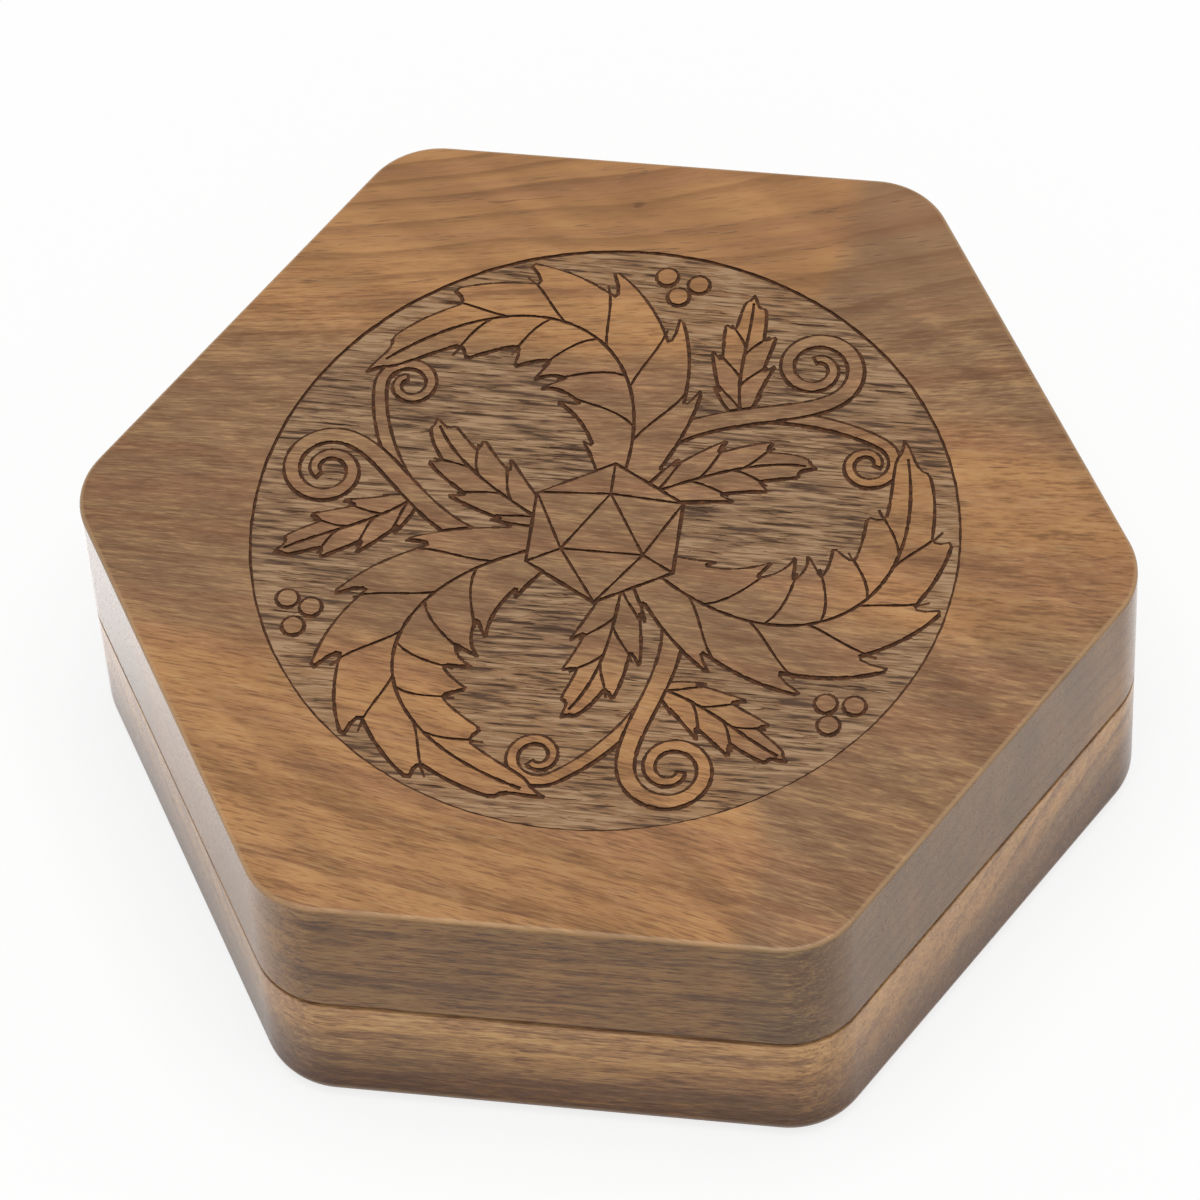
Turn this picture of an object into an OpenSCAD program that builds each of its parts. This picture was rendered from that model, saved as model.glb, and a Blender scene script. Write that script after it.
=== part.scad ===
// Hexagonal dice box. Two milled wooden halves open like a book on a pair of small butt hinges at the
// back. The lower half holds seven honeycomb pockets for dice, the upper half is a shallow rolling tray.
// Millimetres, +Z up. The origin is the centre of the underside, the front face looks along -Y and the
// hinges are on the back face at +Y.

/* [Box] */
// Width of the hexagon across two opposite corners, before the corners are rounded
box_w = 110; // [90:1:140]
// Height of each half, from its outer face to its rim
half_h = 17.4; // [14:0.1:26]
// Gap between the two rims when the box is shut
seam_gap = 0.2; // [0.1:0.05:0.6]
// Radius of the six upright corners
corner_r = 8.5; // [5:0.5:12]
// Rounding where the sides meet the underside
foot_r = 2.5; // [0.5:0.1:4]
// Eased edge round the top face of the lid
top_ease = 0.5; // [0.2:0.1:2]
// Eased edge along both sides of the seam
seam_ease = 0.35; // [0.1:0.05:1]
// Width of the rim across the flats, in both halves
rim_w = 7.5; // [6:0.1:11]

/* [Dice pockets] */
// Web of wood left between two neighbouring pockets
web_t = 3; // [2:0.1:5]
// Floor of wood left under the pockets
floor_t = 3.5; // [2.5:0.1:6]
// Radius that the milling cutter leaves in the pocket corners
pocket_r = 3; // [1:0.1:4]
// Chamfer round the mouth of each pocket
pocket_ease = 0.6; // [0.2:0.1:1]

/* [Lid tray] */
// Thickness of wood left above the tray
lid_top_t = 5; // [3:0.1:8]
// Radius in the six inner corners of the tray
tray_r = 8; // [3:0.5:12]
// Chamfer round the mouth of the tray
tray_ease = 0.6; // [0.2:0.1:1]

/* [Hinges] */
// Length of each hinge along its pin
hinge_len = 16; // [12:0.5:19]
// Distance from the end of a hinge to the start of the rounded corner
hinge_inset = 1.6; // [0.5:0.1:6]
// How far a leaf reaches in over the rim from the back face
leaf_w = 5.6; // [4.5:0.1:5.8]
// Thickness of a leaf
leaf_t = 0.8; // [0.6:0.1:1]
// Corner radius of a leaf
leaf_r = 0.8; // [0.3:0.1:1.5]
// Outer diameter of the knuckles
knuckle_d = 2.8; // [2.4:0.1:3.4]
// Number of knuckles in a hinge, an odd number
knuckle_n = 5; // [3:2:7]
// Diameter of the hinge pin
pin_d = 1.4; // [1:0.1:1.6]
// Room between the knuckles and the back face
barrel_room = 0.3; // [0.2:0.05:1]
// Gap between neighbouring knuckles, along the pin
knuckle_gap = 0.12; // [0.08:0.02:0.3]
// Running clearance round the pin, on the radius
pin_fit = 0.05; // [0.02:0.01:0.1]
// Clearance between a leaf and the sides of its mortise
mortise_fit = 0.1; // [0.05:0.05:0.3]

/* [Screws] */
// Diameter of the countersunk screw head
screw_head_d = 2.4; // [2:0.1:2.6]
// Diameter of the screw shank
screw_d = 1.2; // [0.9:0.1:1.4]
// Length of a screw under the face of its leaf
screw_len = 6; // [4:0.5:8]
// Distance between the two screws of a leaf
screw_pitch = 9; // [7:0.5:10]
// Distance from the back face to the line of screws
screw_inset = 2.7; // [2.2:0.1:3.2]
// Width of the slot across a screw head
slot_w = 0.4; // [0.3:0.05:0.5]
// Clearance round a screw in its hole, on the radius
screw_fit = 0.03; // [0.01:0.01:0.08]

/* [Magnets] */
// Diameter of the disc magnets in the front corners
magnet_d = 5; // [3:0.5:6]
// Thickness of a magnet
magnet_t = 2; // [1:0.5:3]
// Depth of a magnet's face below the rim
magnet_sink = 0.1; // [0.05:0.05:0.4]
// Clearance round a magnet in its hole, on the radius
magnet_fit = 0.05; // [0.02:0.01:0.15]

/* [Felt] */
// Thickness of the felt in the pockets and the tray
felt_t = 1; // [0.6:0.1:2]
// Room between the edge of the felt and the wall round it
felt_fit = 0.3; // [0.1:0.05:0.6]

/* [Hidden] */
$fn = 60;
SIDES = 6;
APOTHEM = cos(180 / SIDES);
// Extra depth of a cut past the face that it opens
past = 1;
// Flat steps in an edge rounding and in a rounded corner of a pocket, the tray or a leaf
edge_steps = 4;
arc_steps = 4;
// Sides of an upright corner post, a multiple of 12 so that the posts touch the flat faces
post_sides = 36;

box_r = box_w / 2;
back_y = box_r * APOTHEM;
seam_z = half_h + seam_gap / 2;

// The corner of the rounded hexagon lies this far out
function corner_reach(r, round_r) = r - round_r * (1 / APOTHEM - 1);

// The ring of pockets fills the room that the rim and the webs leave across the flats
tray_apothem = back_y - rim_w;
tray_circum = tray_apothem / APOTHEM;
pocket_af = (tray_apothem - web_t * APOTHEM) / (APOTHEM + 0.5 / APOTHEM);
pocket_circum = pocket_af / 2 / APOTHEM;
pocket_pitch = pocket_af + web_t;
pocket_turn = 180 / SIDES;

knuckle_r = knuckle_d / 2;
axis_y = back_y + knuckle_r + barrel_room;
// The leaf's outer face lies a little inside the knuckle's, so that the two meet along a clean line
leaf_step = 0.1;
leaf_drop = knuckle_r - leaf_step;
flat_half = box_r / 2 - corner_r * tan(180 / SIDES);
// The two hinges keep this far from each other on a narrow box
hinge_apart = 1;
hinge_x = max(flat_half - hinge_inset, hinge_len + hinge_apart / 2) - hinge_len / 2;
knuckle_len = (hinge_len - (knuckle_n - 1) * knuckle_gap) / knuckle_n;
// Chamfer at the ends of a pin
pin_end = 0.25;
screw_tip = screw_d;
screw_head_h = (screw_head_d - screw_d) / 2;
// Share of the head's height that the slot is deep
slot_share = 0.55;

magnet_reach = (corner_reach(box_r, corner_r) + corner_reach(tray_circum, tray_r)) / 2;
// Corners that hold the magnets, by their angle, and the side of each hinge
FRONT_LEFT = 240;
FRONT_RIGHT = 300;
LEFT = -1;
RIGHT = 1;

POCKET_PADS = ["pocket_pad_centre", "pocket_pad_right", "pocket_pad_back_right", "pocket_pad_back_left",
    "pocket_pad_left", "pocket_pad_front_left", "pocket_pad_front_right"];

// Outline of a convex polygon whose corners are rounded to radius r
function rounded(corners, r) = [
    for (i = [0 : len(corners) - 1])
        let (n = len(corners), p = corners[i],
            a = corners[(i + n - 1) % n] - p, b = corners[(i + 1) % n] - p,
            ua = a / norm(a), ub = b / norm(b),
            half = acos(ua * ub) / 2,
            mid = (ua + ub) / norm(ua + ub),
            c = p + mid * r / sin(half),
            start = atan2(-mid.y, -mid.x) - (90 - half))
        for (k = [0 : arc_steps])
            let (t = start + (180 - 2 * half) * k / arc_steps)
            c + r * [cos(t), sin(t)]
];

function hexagon(circum, turn = 0) =
    [for (i = [0 : SIDES - 1]) circum * [cos(turn + 360 / SIDES * i), sin(turn + 360 / SIDES * i)]];

// Half section of one upright corner, from the underside to the top, eased by low_r and high_r
function corner_section(h, low_r, high_r) = concat(
    [[0, 0]],
    [for (k = [0 : edge_steps]) let (t = 90 * k / edge_steps)
        [corner_r - low_r * (1 - sin(t)), low_r * (1 - cos(t))]],
    [for (k = [0 : edge_steps]) let (t = 90 * k / edge_steps)
        [corner_r - high_r * (1 - cos(t)), h - high_r * (1 - sin(t))]],
    [[0, h]]
);

// A rounded hexagonal block: one skin stretched over its six upright corners
module block(h, low_r, high_r) {
    hull()
        for (i = [0 : SIDES - 1])
            rotate(360 / SIDES * i)
                translate([box_r - corner_r / APOTHEM, 0, 0])
                    rotate_extrude($fn = post_sides)
                        polygon(corner_section(h, low_r, high_r));
}

// A hexagonal pocket with its floor at z = 0 and a chamfered mouth at z = depth
module pocket(circum, round_r, ease, turn, depth) {
    linear_extrude(depth + past)
        polygon(rounded(hexagon(circum, turn), round_r));
    widened = 1 + (ease + past / 2) / (circum * APOTHEM);
    translate([0, 0, depth - ease])
        linear_extrude(ease + past / 2, scale = widened)
            polygon(rounded(hexagon(circum, turn), round_r));
}

// Pocket 0 is the middle one, and the others follow anticlockwise from the right
module at_pocket(i) {
    a = 360 / SIDES * (i - 1);
    translate(i == 0 ? [0, 0, 0] : pocket_pitch * [cos(a), sin(a), 0]) children();
}

// Turns a piece of the lower half over into its twin in the upper half
module lid_side() {
    translate([0, 0, seam_z]) mirror([0, 0, 1]) translate([0, 0, -seam_z]) children();
}

module hinge_place(side) {
    translate([side * hinge_x, axis_y, seam_z]) children();
}

function screw_spots() = [for (s = [-1, 1]) [s * screw_pitch / 2, back_y - screw_inset - axis_y]];

// Everything that is let into one rim: two leaf mortises with their screw holes and two magnet holes
module rim_cuts() {
    for (side = [LEFT, RIGHT])
        hinge_place(side) {
            translate([-hinge_len / 2 - mortise_fit, back_y - leaf_w - mortise_fit - axis_y, -leaf_drop])
                cube([hinge_len + 2 * mortise_fit, leaf_w + mortise_fit + past, leaf_drop + past]);
            for (p = screw_spots())
                translate([p.x, p.y, -leaf_drop + leaf_t - screw_len - past / 2])
                    cylinder(r = screw_d / 2 + screw_fit, h = screw_len + past);
        }
    for (a = [FRONT_LEFT, FRONT_RIGHT])
        rotate(a) translate([magnet_reach, 0, half_h - magnet_sink - magnet_t])
            cylinder(d = magnet_d + 2 * magnet_fit, h = magnet_t + past);
}

module base_body() {
    color("sienna")
    difference() {
        block(half_h, foot_r, seam_ease);
        for (i = [0 : SIDES])
            at_pocket(i) translate([0, 0, floor_t])
                pocket(pocket_circum, pocket_r, pocket_ease, pocket_turn, half_h - floor_t);
        rim_cuts();
    }
}

module lid_body() {
    color("saddlebrown")
    lid_side()
    difference() {
        block(half_h, top_ease, seam_ease);
        translate([0, 0, lid_top_t])
            pocket(tray_circum, tray_r, tray_ease, 0, half_h - lid_top_t);
        rim_cuts();
    }
}

// Outline of a leaf's plate: its inner corners are rounded, its outer edge is in line with the back face
function leaf_outline() =
    let (inner_y = back_y - leaf_w - axis_y, outer_y = back_y - axis_y)
    concat(
        [for (k = [0 : arc_steps]) let (t = 180 + 90 * k / arc_steps)
            [-hinge_len / 2 + leaf_r, inner_y + leaf_r] + leaf_r * [cos(t), sin(t)]],
        [for (k = [0 : arc_steps]) let (t = 270 + 90 * k / arc_steps)
            [hinge_len / 2 - leaf_r, inner_y + leaf_r] + leaf_r * [cos(t), sin(t)]],
        [[hinge_len / 2, outer_y], [-hinge_len / 2, outer_y]]
    );

// One leaf lying under the seam, with its pin along X through the origin and the rim towards -Y.
// It carries every second knuckle, starting with number `first`.
module hinge_leaf(first) {
    tongue_y = back_y - axis_y - leaf_step;
    color("goldenrod")
    difference() {
        union() {
            translate([0, 0, -leaf_drop])
                linear_extrude(leaf_t) polygon(leaf_outline());
            for (k = [first : 2 : knuckle_n - 1])
                translate([-hinge_len / 2 + k * (knuckle_len + knuckle_gap), 0, 0]) {
                    rotate([0, 90, 0]) cylinder(r = knuckle_r, h = knuckle_len);
                    translate([0, tongue_y, -leaf_drop]) cube([knuckle_len, -tongue_y, leaf_t]);
                }
        }
        translate([-hinge_len / 2 - past, 0, 0]) rotate([0, 90, 0])
            cylinder(r = pin_d / 2 + pin_fit, h = hinge_len + 2 * past);
        for (p = screw_spots()) {
            translate([p.x, p.y, -leaf_drop - past])
                cylinder(r = screw_d / 2 + screw_fit, h = leaf_t + 2 * past);
            translate([p.x, p.y, -leaf_drop + leaf_t - screw_head_h])
                cylinder(r1 = screw_d / 2 + screw_fit, r2 = screw_head_d / 2 + screw_fit, h = screw_head_h);
        }
    }
}

module hinge_pin() {
    color("darkgoldenrod")
    translate([-hinge_len / 2, 0, 0]) rotate([0, 90, 0])
        rotate_extrude()
            polygon([[0, 0], [pin_d / 2 - pin_end, 0], [pin_d / 2, pin_end],
                [pin_d / 2, hinge_len - pin_end], [pin_d / 2 - pin_end, hinge_len], [0, hinge_len]]);
}

// The two slotted countersunk screws of one leaf
module hinge_screws() {
    color("gold")
    for (p = screw_spots())
        translate([p.x, p.y, -leaf_drop + leaf_t])
            difference() {
                rotate_extrude()
                    polygon([[0, 0], [screw_head_d / 2, 0], [screw_d / 2, -screw_head_h],
                        [screw_d / 2, screw_tip - screw_len], [0, -screw_len]]);
                translate([-screw_head_d, -slot_w / 2, -slot_share * screw_head_h])
                    cube([2 * screw_head_d, slot_w, screw_head_h + past]);
            }
}

module magnet(a) {
    color("silver")
    rotate(a) translate([magnet_reach, 0, half_h - magnet_sink - magnet_t])
        cylinder(d = magnet_d, h = magnet_t);
}

module pocket_pad(i) {
    color("dimgray")
    at_pocket(i) translate([0, 0, floor_t])
        linear_extrude(felt_t)
            polygon(rounded(hexagon(pocket_circum - felt_fit / APOTHEM, pocket_turn), pocket_r - felt_fit));
}

module lid_liner() {
    color("dimgray")
    lid_side()
    translate([0, 0, lid_top_t])
        linear_extrude(felt_t)
            polygon(rounded(hexagon(tray_circum - felt_fit / APOTHEM), tray_r - felt_fit));
}

base_body();
lid_body();
hinge_place(LEFT) hinge_leaf(0);  // hinge_leaf_base_left
hinge_place(RIGHT) hinge_leaf(0);  // hinge_leaf_base_right
lid_side() hinge_place(LEFT) hinge_leaf(1);  // hinge_leaf_lid_left
lid_side() hinge_place(RIGHT) hinge_leaf(1);  // hinge_leaf_lid_right
hinge_place(LEFT) hinge_pin();  // hinge_pin_left
hinge_place(RIGHT) hinge_pin();  // hinge_pin_right
hinge_place(LEFT) hinge_screws();  // hinge_screws_base_left
hinge_place(RIGHT) hinge_screws();  // hinge_screws_base_right
lid_side() hinge_place(LEFT) hinge_screws();  // hinge_screws_lid_left
lid_side() hinge_place(RIGHT) hinge_screws();  // hinge_screws_lid_right
magnet(FRONT_LEFT);  // magnet_base_left
magnet(FRONT_RIGHT);  // magnet_base_right
lid_side() magnet(FRONT_LEFT);  // magnet_lid_left
lid_side() magnet(FRONT_RIGHT);  // magnet_lid_right
lid_liner();
for (i = [0 : SIDES])
    pocket_pad(i);
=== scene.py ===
"""Hexagonal dice box of walnut, with an engraved lid, brass hinges, disc magnets and felt.

Laid out as an add-on and run as a script. Lengths are metres, apart from the ornament and the wood
figure, which are drawn in millimetres.
"""

import math
import random
from functools import cache

import bmesh
import bpy
from bpy.props import FloatProperty, FloatVectorProperty, IntProperty, PointerProperty
from mathutils import Matrix, Vector, noise
from mathutils.geometry import delaunay_2d_cdt


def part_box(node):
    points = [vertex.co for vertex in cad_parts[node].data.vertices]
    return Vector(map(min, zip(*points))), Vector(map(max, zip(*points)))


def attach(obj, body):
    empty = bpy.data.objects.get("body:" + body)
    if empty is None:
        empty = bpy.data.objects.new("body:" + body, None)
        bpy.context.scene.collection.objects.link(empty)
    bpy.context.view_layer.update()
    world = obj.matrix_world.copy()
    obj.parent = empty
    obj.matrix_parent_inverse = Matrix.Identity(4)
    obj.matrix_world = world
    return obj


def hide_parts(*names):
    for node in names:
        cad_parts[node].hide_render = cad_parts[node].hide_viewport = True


bl_info = {
    "name": "Hexagonal Dice Box",
    "version": (1, 0, 0),
    "blender": (4, 5, 0),
    "location": "3D View > Sidebar > Dice Box",
    "description": "Builds a walnut dice box with an engraved lid round its construction model",
    "category": "Object",
}

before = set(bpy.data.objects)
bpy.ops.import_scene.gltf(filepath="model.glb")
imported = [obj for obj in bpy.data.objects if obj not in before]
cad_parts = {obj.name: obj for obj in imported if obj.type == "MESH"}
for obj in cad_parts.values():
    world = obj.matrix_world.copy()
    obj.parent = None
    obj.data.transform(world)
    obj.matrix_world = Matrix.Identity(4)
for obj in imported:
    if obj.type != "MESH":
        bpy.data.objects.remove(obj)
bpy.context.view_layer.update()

MM = 0.001
SIDES = 6
APOTHEM = math.cos(math.pi / SIDES)

# Places and sizes that come from the construction model
base_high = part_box("base_body")[1]
lid_low, lid_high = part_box("lid_body")
leaf_low, leaf_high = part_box("hinge_leaf_base_right")
pin_low, pin_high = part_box("hinge_pin_right")
pad_low, pad_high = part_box("pocket_pad_centre")
liner_low, liner_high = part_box("lid_liner")
magnet_low, magnet_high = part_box("magnet_base_right")
screw_low, screw_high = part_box("hinge_screws_base_right")

BACK_Y = base_high.y
BOX_R = BACK_Y / APOTHEM
CORNER_R = (BOX_R - base_high.x) / (1 / APOTHEM - 1)
HALF_H = base_high.z
SEAM_Z = (base_high.z + lid_low.z) / 2
TOP_Z = lid_high.z
PIN_R = (pin_high.z - pin_low.z) / 2
AXIS_Y = (pin_low.y + pin_high.y) / 2
KNUCKLE_R = leaf_high.y - AXIS_Y
HINGE_X = (leaf_low.x + leaf_high.x) / 2
HINGE_LEN = leaf_high.x - leaf_low.x
LEAF_INNER_Y = leaf_low.y
SCREW_Y = (screw_low.y + screw_high.y) / 2
SCREW_HEAD_R = (screw_high.y - screw_low.y) / 2
SCREW_HALF_PITCH = (screw_high.x - screw_low.x) / 2 - SCREW_HEAD_R
LEAF_FACE_Z = screw_high.z
PAD_HALF_X = pad_high.x
POCKET_PITCH = (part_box("pocket_pad_right")[0].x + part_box("pocket_pad_right")[1].x) / 2
POCKET_FLOOR_Z = pad_low.z
TRAY_CEILING_Z = liner_high.z
LINER_HALF_Y = liner_high.y
MAGNET_R = (magnet_high.y - magnet_low.y) / 2
MAGNET_SPOT = (magnet_low + magnet_high) / 2
POCKET_NAMES = ("right", "back_right", "back_left", "left", "front_left", "front_right")
SIDE_SIGNS = {"left": -1, "right": 1}


def length_setting(name, mm, description):
    """A length that a user can change, given in millimetres"""
    return FloatProperty(name=name, description=description, default=mm * MM, unit="LENGTH", precision=5)


def colour_setting(name, colour, description):
    """A colour that a user can change, as a screen shows it"""
    return FloatVectorProperty(name=name, description=description, default=colour, size=3,
        subtype="COLOR_GAMMA")


def angle_setting(name, degrees, description):
    """An angle that a user can change, given in degrees"""
    return FloatProperty(name=name, description=description, default=math.radians(degrees), subtype="ANGLE")


class BoxSizes(bpy.types.PropertyGroup):
    """Edges and pockets of the two wooden halves"""
    foot_radius: length_setting("Foot rounding", 2.5, "Rounding where the sides meet the underside")
    top_ease: length_setting("Top edge", 0.5, "Eased edge round the top face of the lid")
    seam_ease: length_setting("Seam edge", 0.35, "Eased edge along both sides of the seam")
    pocket_fit: length_setting("Felt clearance", 0.3, "Room between a piece of felt and the wall round it")
    pocket_radius: length_setting("Pocket corner", 3, "Radius in the upright corners of a dice pocket")
    tray_radius: length_setting("Tray corner", 8, "Radius in the upright corners of the lid's tray")
    mouth_ease: length_setting("Mouth edge", 0.6, "Rounding round the mouths of the pockets and the tray")
    pocket_count: IntProperty(name="Outer pockets", default=6, min=3, max=6,
        description="Dice pockets in the ring round the middle one")


class EngravingSizes(bpy.types.PropertyGroup):
    """The laser engraving on the lid"""
    ring_share: FloatProperty(name="Ring", subtype="FACTOR", default=0.65, min=0.3, max=0.8,
        description="Radius of the engraved ring as a share of the half width across corners")
    ring_width: length_setting("Ring width", 0.26, "Width of the burnt ring")
    line_width: length_setting("Line width", 0.36, "Width of the burnt outlines")
    line_depth: length_setting("Line depth", 0.26, "Depth of the burnt outlines")
    ground_depth: length_setting("Ground depth", 0.2, "Depth of the lowered ground between the motifs")
    streak_depth: length_setting("Streak relief", 0.07, "Height of the ridges and furrows in the ground")
    streak_count: IntProperty(name="Streaks", default=1300, min=0, max=4000,
        description="Number of short ridges and furrows in the ground")
    seed: IntProperty(name="Seed", default=7, min=0, description="Where the streaks and rough edges fall")


class HardwareSizes(bpy.types.PropertyGroup):
    """Hinges, screws and magnets"""
    leaf_thickness: length_setting("Leaf thickness", 0.8, "Thickness of a hinge leaf")
    leaf_radius: length_setting("Leaf corner", 0.8, "Corner radius of a hinge leaf")
    mortise_fit: length_setting("Mortise clearance", 0.1, "Gap round a leaf in its mortise")
    knuckle_count: IntProperty(name="Knuckles", default=5, min=3, max=7,
        description="Knuckles in one hinge, an odd number")
    knuckle_gap: length_setting("Knuckle gap", 0.12, "Gap between neighbouring knuckles")
    edge: length_setting("Metal edge", 0.1, "Bevel on the edges of the metal pieces")
    screw_shank: length_setting("Screw shank", 0.6, "Radius of a screw's shank")
    slot_width: length_setting("Screw slot", 0.4, "Width of the slot in a screw head")


class Finishes(bpy.types.PropertyGroup):
    """Colours of the materials, as a screen shows them"""
    body: colour_setting("Walnut", (0.545, 0.417, 0.302), "Body colour of the wood")
    gold: colour_setting("Golden wood", (0.672, 0.490, 0.318), "Warm golden zones of the wood")
    # colour of the painted highlight on the eased edges
    worn: colour_setting("Painted edge highlight", (0.775, 0.645, 0.490), "Painted highlight on the eased edges of the wood")
    pale: colour_setting("Pale fibres", (0.725, 0.575, 0.400), "Light streaks in the wood")
    red: colour_setting("Red fibres", (0.578, 0.408, 0.295), "Reddish streaks in the wood")
    dark: colour_setting("Dark fibres", (0.420, 0.282, 0.182), "Dark streaks and growth rings in the wood")
    burnt: colour_setting("Burnt wood", (0.255, 0.152, 0.080), "Burnt outlines of the engraving")
    brass: colour_setting("Brass", (0.80, 0.66, 0.40), "Hinges and screws")
    nickel: colour_setting("Nickel", (0.74, 0.73, 0.71), "Plating of the magnets")
    felt: colour_setting("Felt", (0.16, 0.16, 0.17), "Felt in the pockets and the tray")


class StageSettings(bpy.types.PropertyGroup):
    """Camera and light"""
    azimuth: angle_setting("Azimuth", 10.80, "Turn of the camera round the box, from straight in front")
    elevation: angle_setting("Elevation", 54.90, "Height of the camera over the table, as an angle")
    roll: angle_setting("Roll", -4.14, "Turn of the camera about its own axis")
    distance: FloatProperty(name="Distance", unit="LENGTH", default=0.7132,
        description="From the middle of the lid to the camera")
    slide_x: length_setting("Slide right", -0.47, "Sideways shift of the camera in its own plane")
    slide_y: length_setting("Slide up", -6.81, "Upward shift of the camera in its own plane")
    lens: FloatProperty(name="Lens", unit="CAMERA", default=212.69,
        description="Focal length, on a 36 mm sensor")
    sky: FloatProperty(name="Sky", default=0.42, min=0,
        description="Strength of the soft light from all round")
    key: FloatProperty(name="Key light", default=0.58, min=0,
        description="Share of the light on the lid that comes from the overhead lamp")


SETTINGS = {"dice_box": BoxSizes, "dice_engraving": EngravingSizes, "dice_hardware": HardwareSizes,
    "dice_finish": Finishes, "dice_stage": StageSettings}


# Outlines and skins

def hexagon(circum, turn=0.0):
    """The six corners of a hexagon of that half width across corners"""
    angles = [turn + 2 * math.pi / SIDES * k for k in range(SIDES)]
    return [Vector((circum * math.cos(angle), circum * math.sin(angle))) for angle in angles]


def rounded(corners, radius, steps):
    """A convex outline whose corners are rounded by arcs of that many steps"""
    outline = []
    for k, corner in enumerate(corners):
        back = (corners[k - 1] - corner).normalized()
        ahead = (corners[(k + 1) % len(corners)] - corner).normalized()
        half = back.angle(ahead) / 2
        inward = (back + ahead).normalized()
        centre = corner + inward * radius / math.sin(half)
        start = math.atan2(-inward.y, -inward.x) - (math.pi / 2 - half)
        for j in range(steps + 1):
            angle = start + (math.pi - 2 * half) * j / steps
            outline.append(centre + radius * Vector((math.cos(angle), math.sin(angle))))
    return outline


def rounded_hexagon(circum, radius, grow=0.0, turn=0.0, steps=14, least=0.02 * MM):
    """A rounded hexagon, grown outwards or inwards all round by the same distance"""
    return rounded(hexagon(circum + grow / APOTHEM, turn), max(radius + grow, least), steps)


def skin(rings):
    """Vertices and faces of a closed skin over rings of equally many points, from low to high"""
    count = len(rings[0])
    verts = [v for ring in rings for v in ring]
    faces = [list(range(count))[::-1]]
    for r in range(len(rings) - 1):
        for k in range(count):
            a, b = r * count + k, r * count + (k + 1) % count
            faces.append([a, b, b + count, a + count])
    faces.append(list(range(len(verts) - count, len(verts))))
    return verts, faces


def rectangle(half_x, half_y):
    """The corners of a rectangle round the origin"""
    return [Vector((x * half_x, y * half_y)) for x, y in ((-1, -1), (1, -1), (1, 1), (-1, 1))]


def at_height(outline, z):
    return [Vector((p.x, p.y, z)) for p in outline]


def quarter(radius, steps):
    """Steps of a quarter arc from the end face to the side, as (how far in, how far along the side)"""
    return [(radius * (1 - math.sin(t)), radius * (1 - math.cos(t)))
        for t in (math.pi / 2 * k / steps for k in range(steps + 1))]


def mesh_object(name, verts, faces, materials=()):
    mesh = bpy.data.meshes.new(name)
    mesh.from_pydata([tuple(v) for v in verts], [], faces)
    for material in materials:
        mesh.materials.append(material)
    mesh.validate()
    obj = bpy.data.objects.new(name, mesh)
    bpy.context.scene.collection.objects.link(obj)
    return obj


def join_meshes(parts):
    """One list of vertices and faces from several"""
    verts, faces = [], []
    for part_verts, part_faces in parts:
        start = len(verts)
        verts.extend(part_verts)
        faces.extend([start + i for i in face] for face in part_faces)
    return verts, faces


def lathe(profile, sides=32, spot=(0, 0, 0), axis="Z"):
    """A closed turned shape from (radius, place along the axis) points that start and end on the axis"""
    verts, faces = [], []
    rings = []
    for radius, along in profile:
        start = len(verts)
        if radius < 1e-9:
            verts.append(Vector((0, 0, along)))
            rings.append([start] * sides)
        else:
            verts.extend(Vector((radius * math.cos(2 * math.pi * k / sides),
                radius * math.sin(2 * math.pi * k / sides), along)) for k in range(sides))
            rings.append([start + k for k in range(sides)])
    for low, high in zip(rings, rings[1:]):
        for k in range(sides):
            j = (k + 1) % sides
            face = [low[k], low[j], high[j], high[k]]
            faces.append([v for n, v in enumerate(face) if v not in face[:n]])
    if axis == "X":
        verts = [Vector((v.z, v.x, v.y)) for v in verts]
    return [v + Vector(spot) for v in verts], faces


def bake_modifiers(obj):
    """Makes the result of an object's modifiers its plain mesh"""
    bpy.context.view_layer.update()
    graph = bpy.context.evaluated_depsgraph_get()
    mesh = bpy.data.meshes.new_from_object(obj.evaluated_get(graph), preserve_all_data_layers=True,
        depsgraph=graph)
    obj.modifiers.clear()
    obj.data = mesh
    return obj


def cut(obj, verts, faces):
    """Takes a closed shape out of an object"""
    cutter = mesh_object(obj.name + "_cutter", verts, faces)
    modifier = obj.modifiers.new("Cut", "BOOLEAN")
    modifier.operation = "DIFFERENCE"
    modifier.solver = "EXACT"
    modifier.object = cutter
    bake_modifiers(obj)
    bpy.data.objects.remove(cutter)
    return obj


def shade(obj, angle=32):
    """Smooth shading with sharp creases, and normals that follow the large flat faces"""
    obj.data.shade_smooth()
    obj.data.set_sharp_from_angle(angle=math.radians(angle))
    modifier = obj.modifiers.new("Flat faces stay flat", "WEIGHTED_NORMAL")
    modifier.keep_sharp = True
    return bake_modifiers(obj)


def place(obj, body, slot, *nodes):
    """Hands a finished piece over to its body and hides its construction nodes; the slot is not used"""
    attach(obj, body)
    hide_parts(*nodes)
    return obj


# Geometry node trees

def add(tree, kind, inputs=None, **settings):
    """Adds a node. Inputs are values or the output sockets that feed them."""
    node = tree.nodes.new(kind)
    for name, value in settings.items():
        setattr(node, name, value)
    for key, value in (inputs or {}).items():
        if isinstance(value, bpy.types.NodeSocket):
            tree.links.new(value, node.inputs[key])
        else:
            node.inputs[key].default_value = value
    return node


def geometry_tree(name, sockets):
    """A geometry node tree with a geometry input and output and these named inputs"""
    tree = bpy.data.node_groups.new(name, "GeometryNodeTree")
    tree.interface.new_socket("Geometry", in_out="OUTPUT", socket_type="NodeSocketGeometry")
    tree.interface.new_socket("Geometry", in_out="INPUT", socket_type="NodeSocketGeometry")
    for label, kind in sockets.items():
        tree.interface.new_socket(label, in_out="INPUT", socket_type="NodeSocket" + kind)
    return tree, add(tree, "NodeGroupInput").outputs


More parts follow.
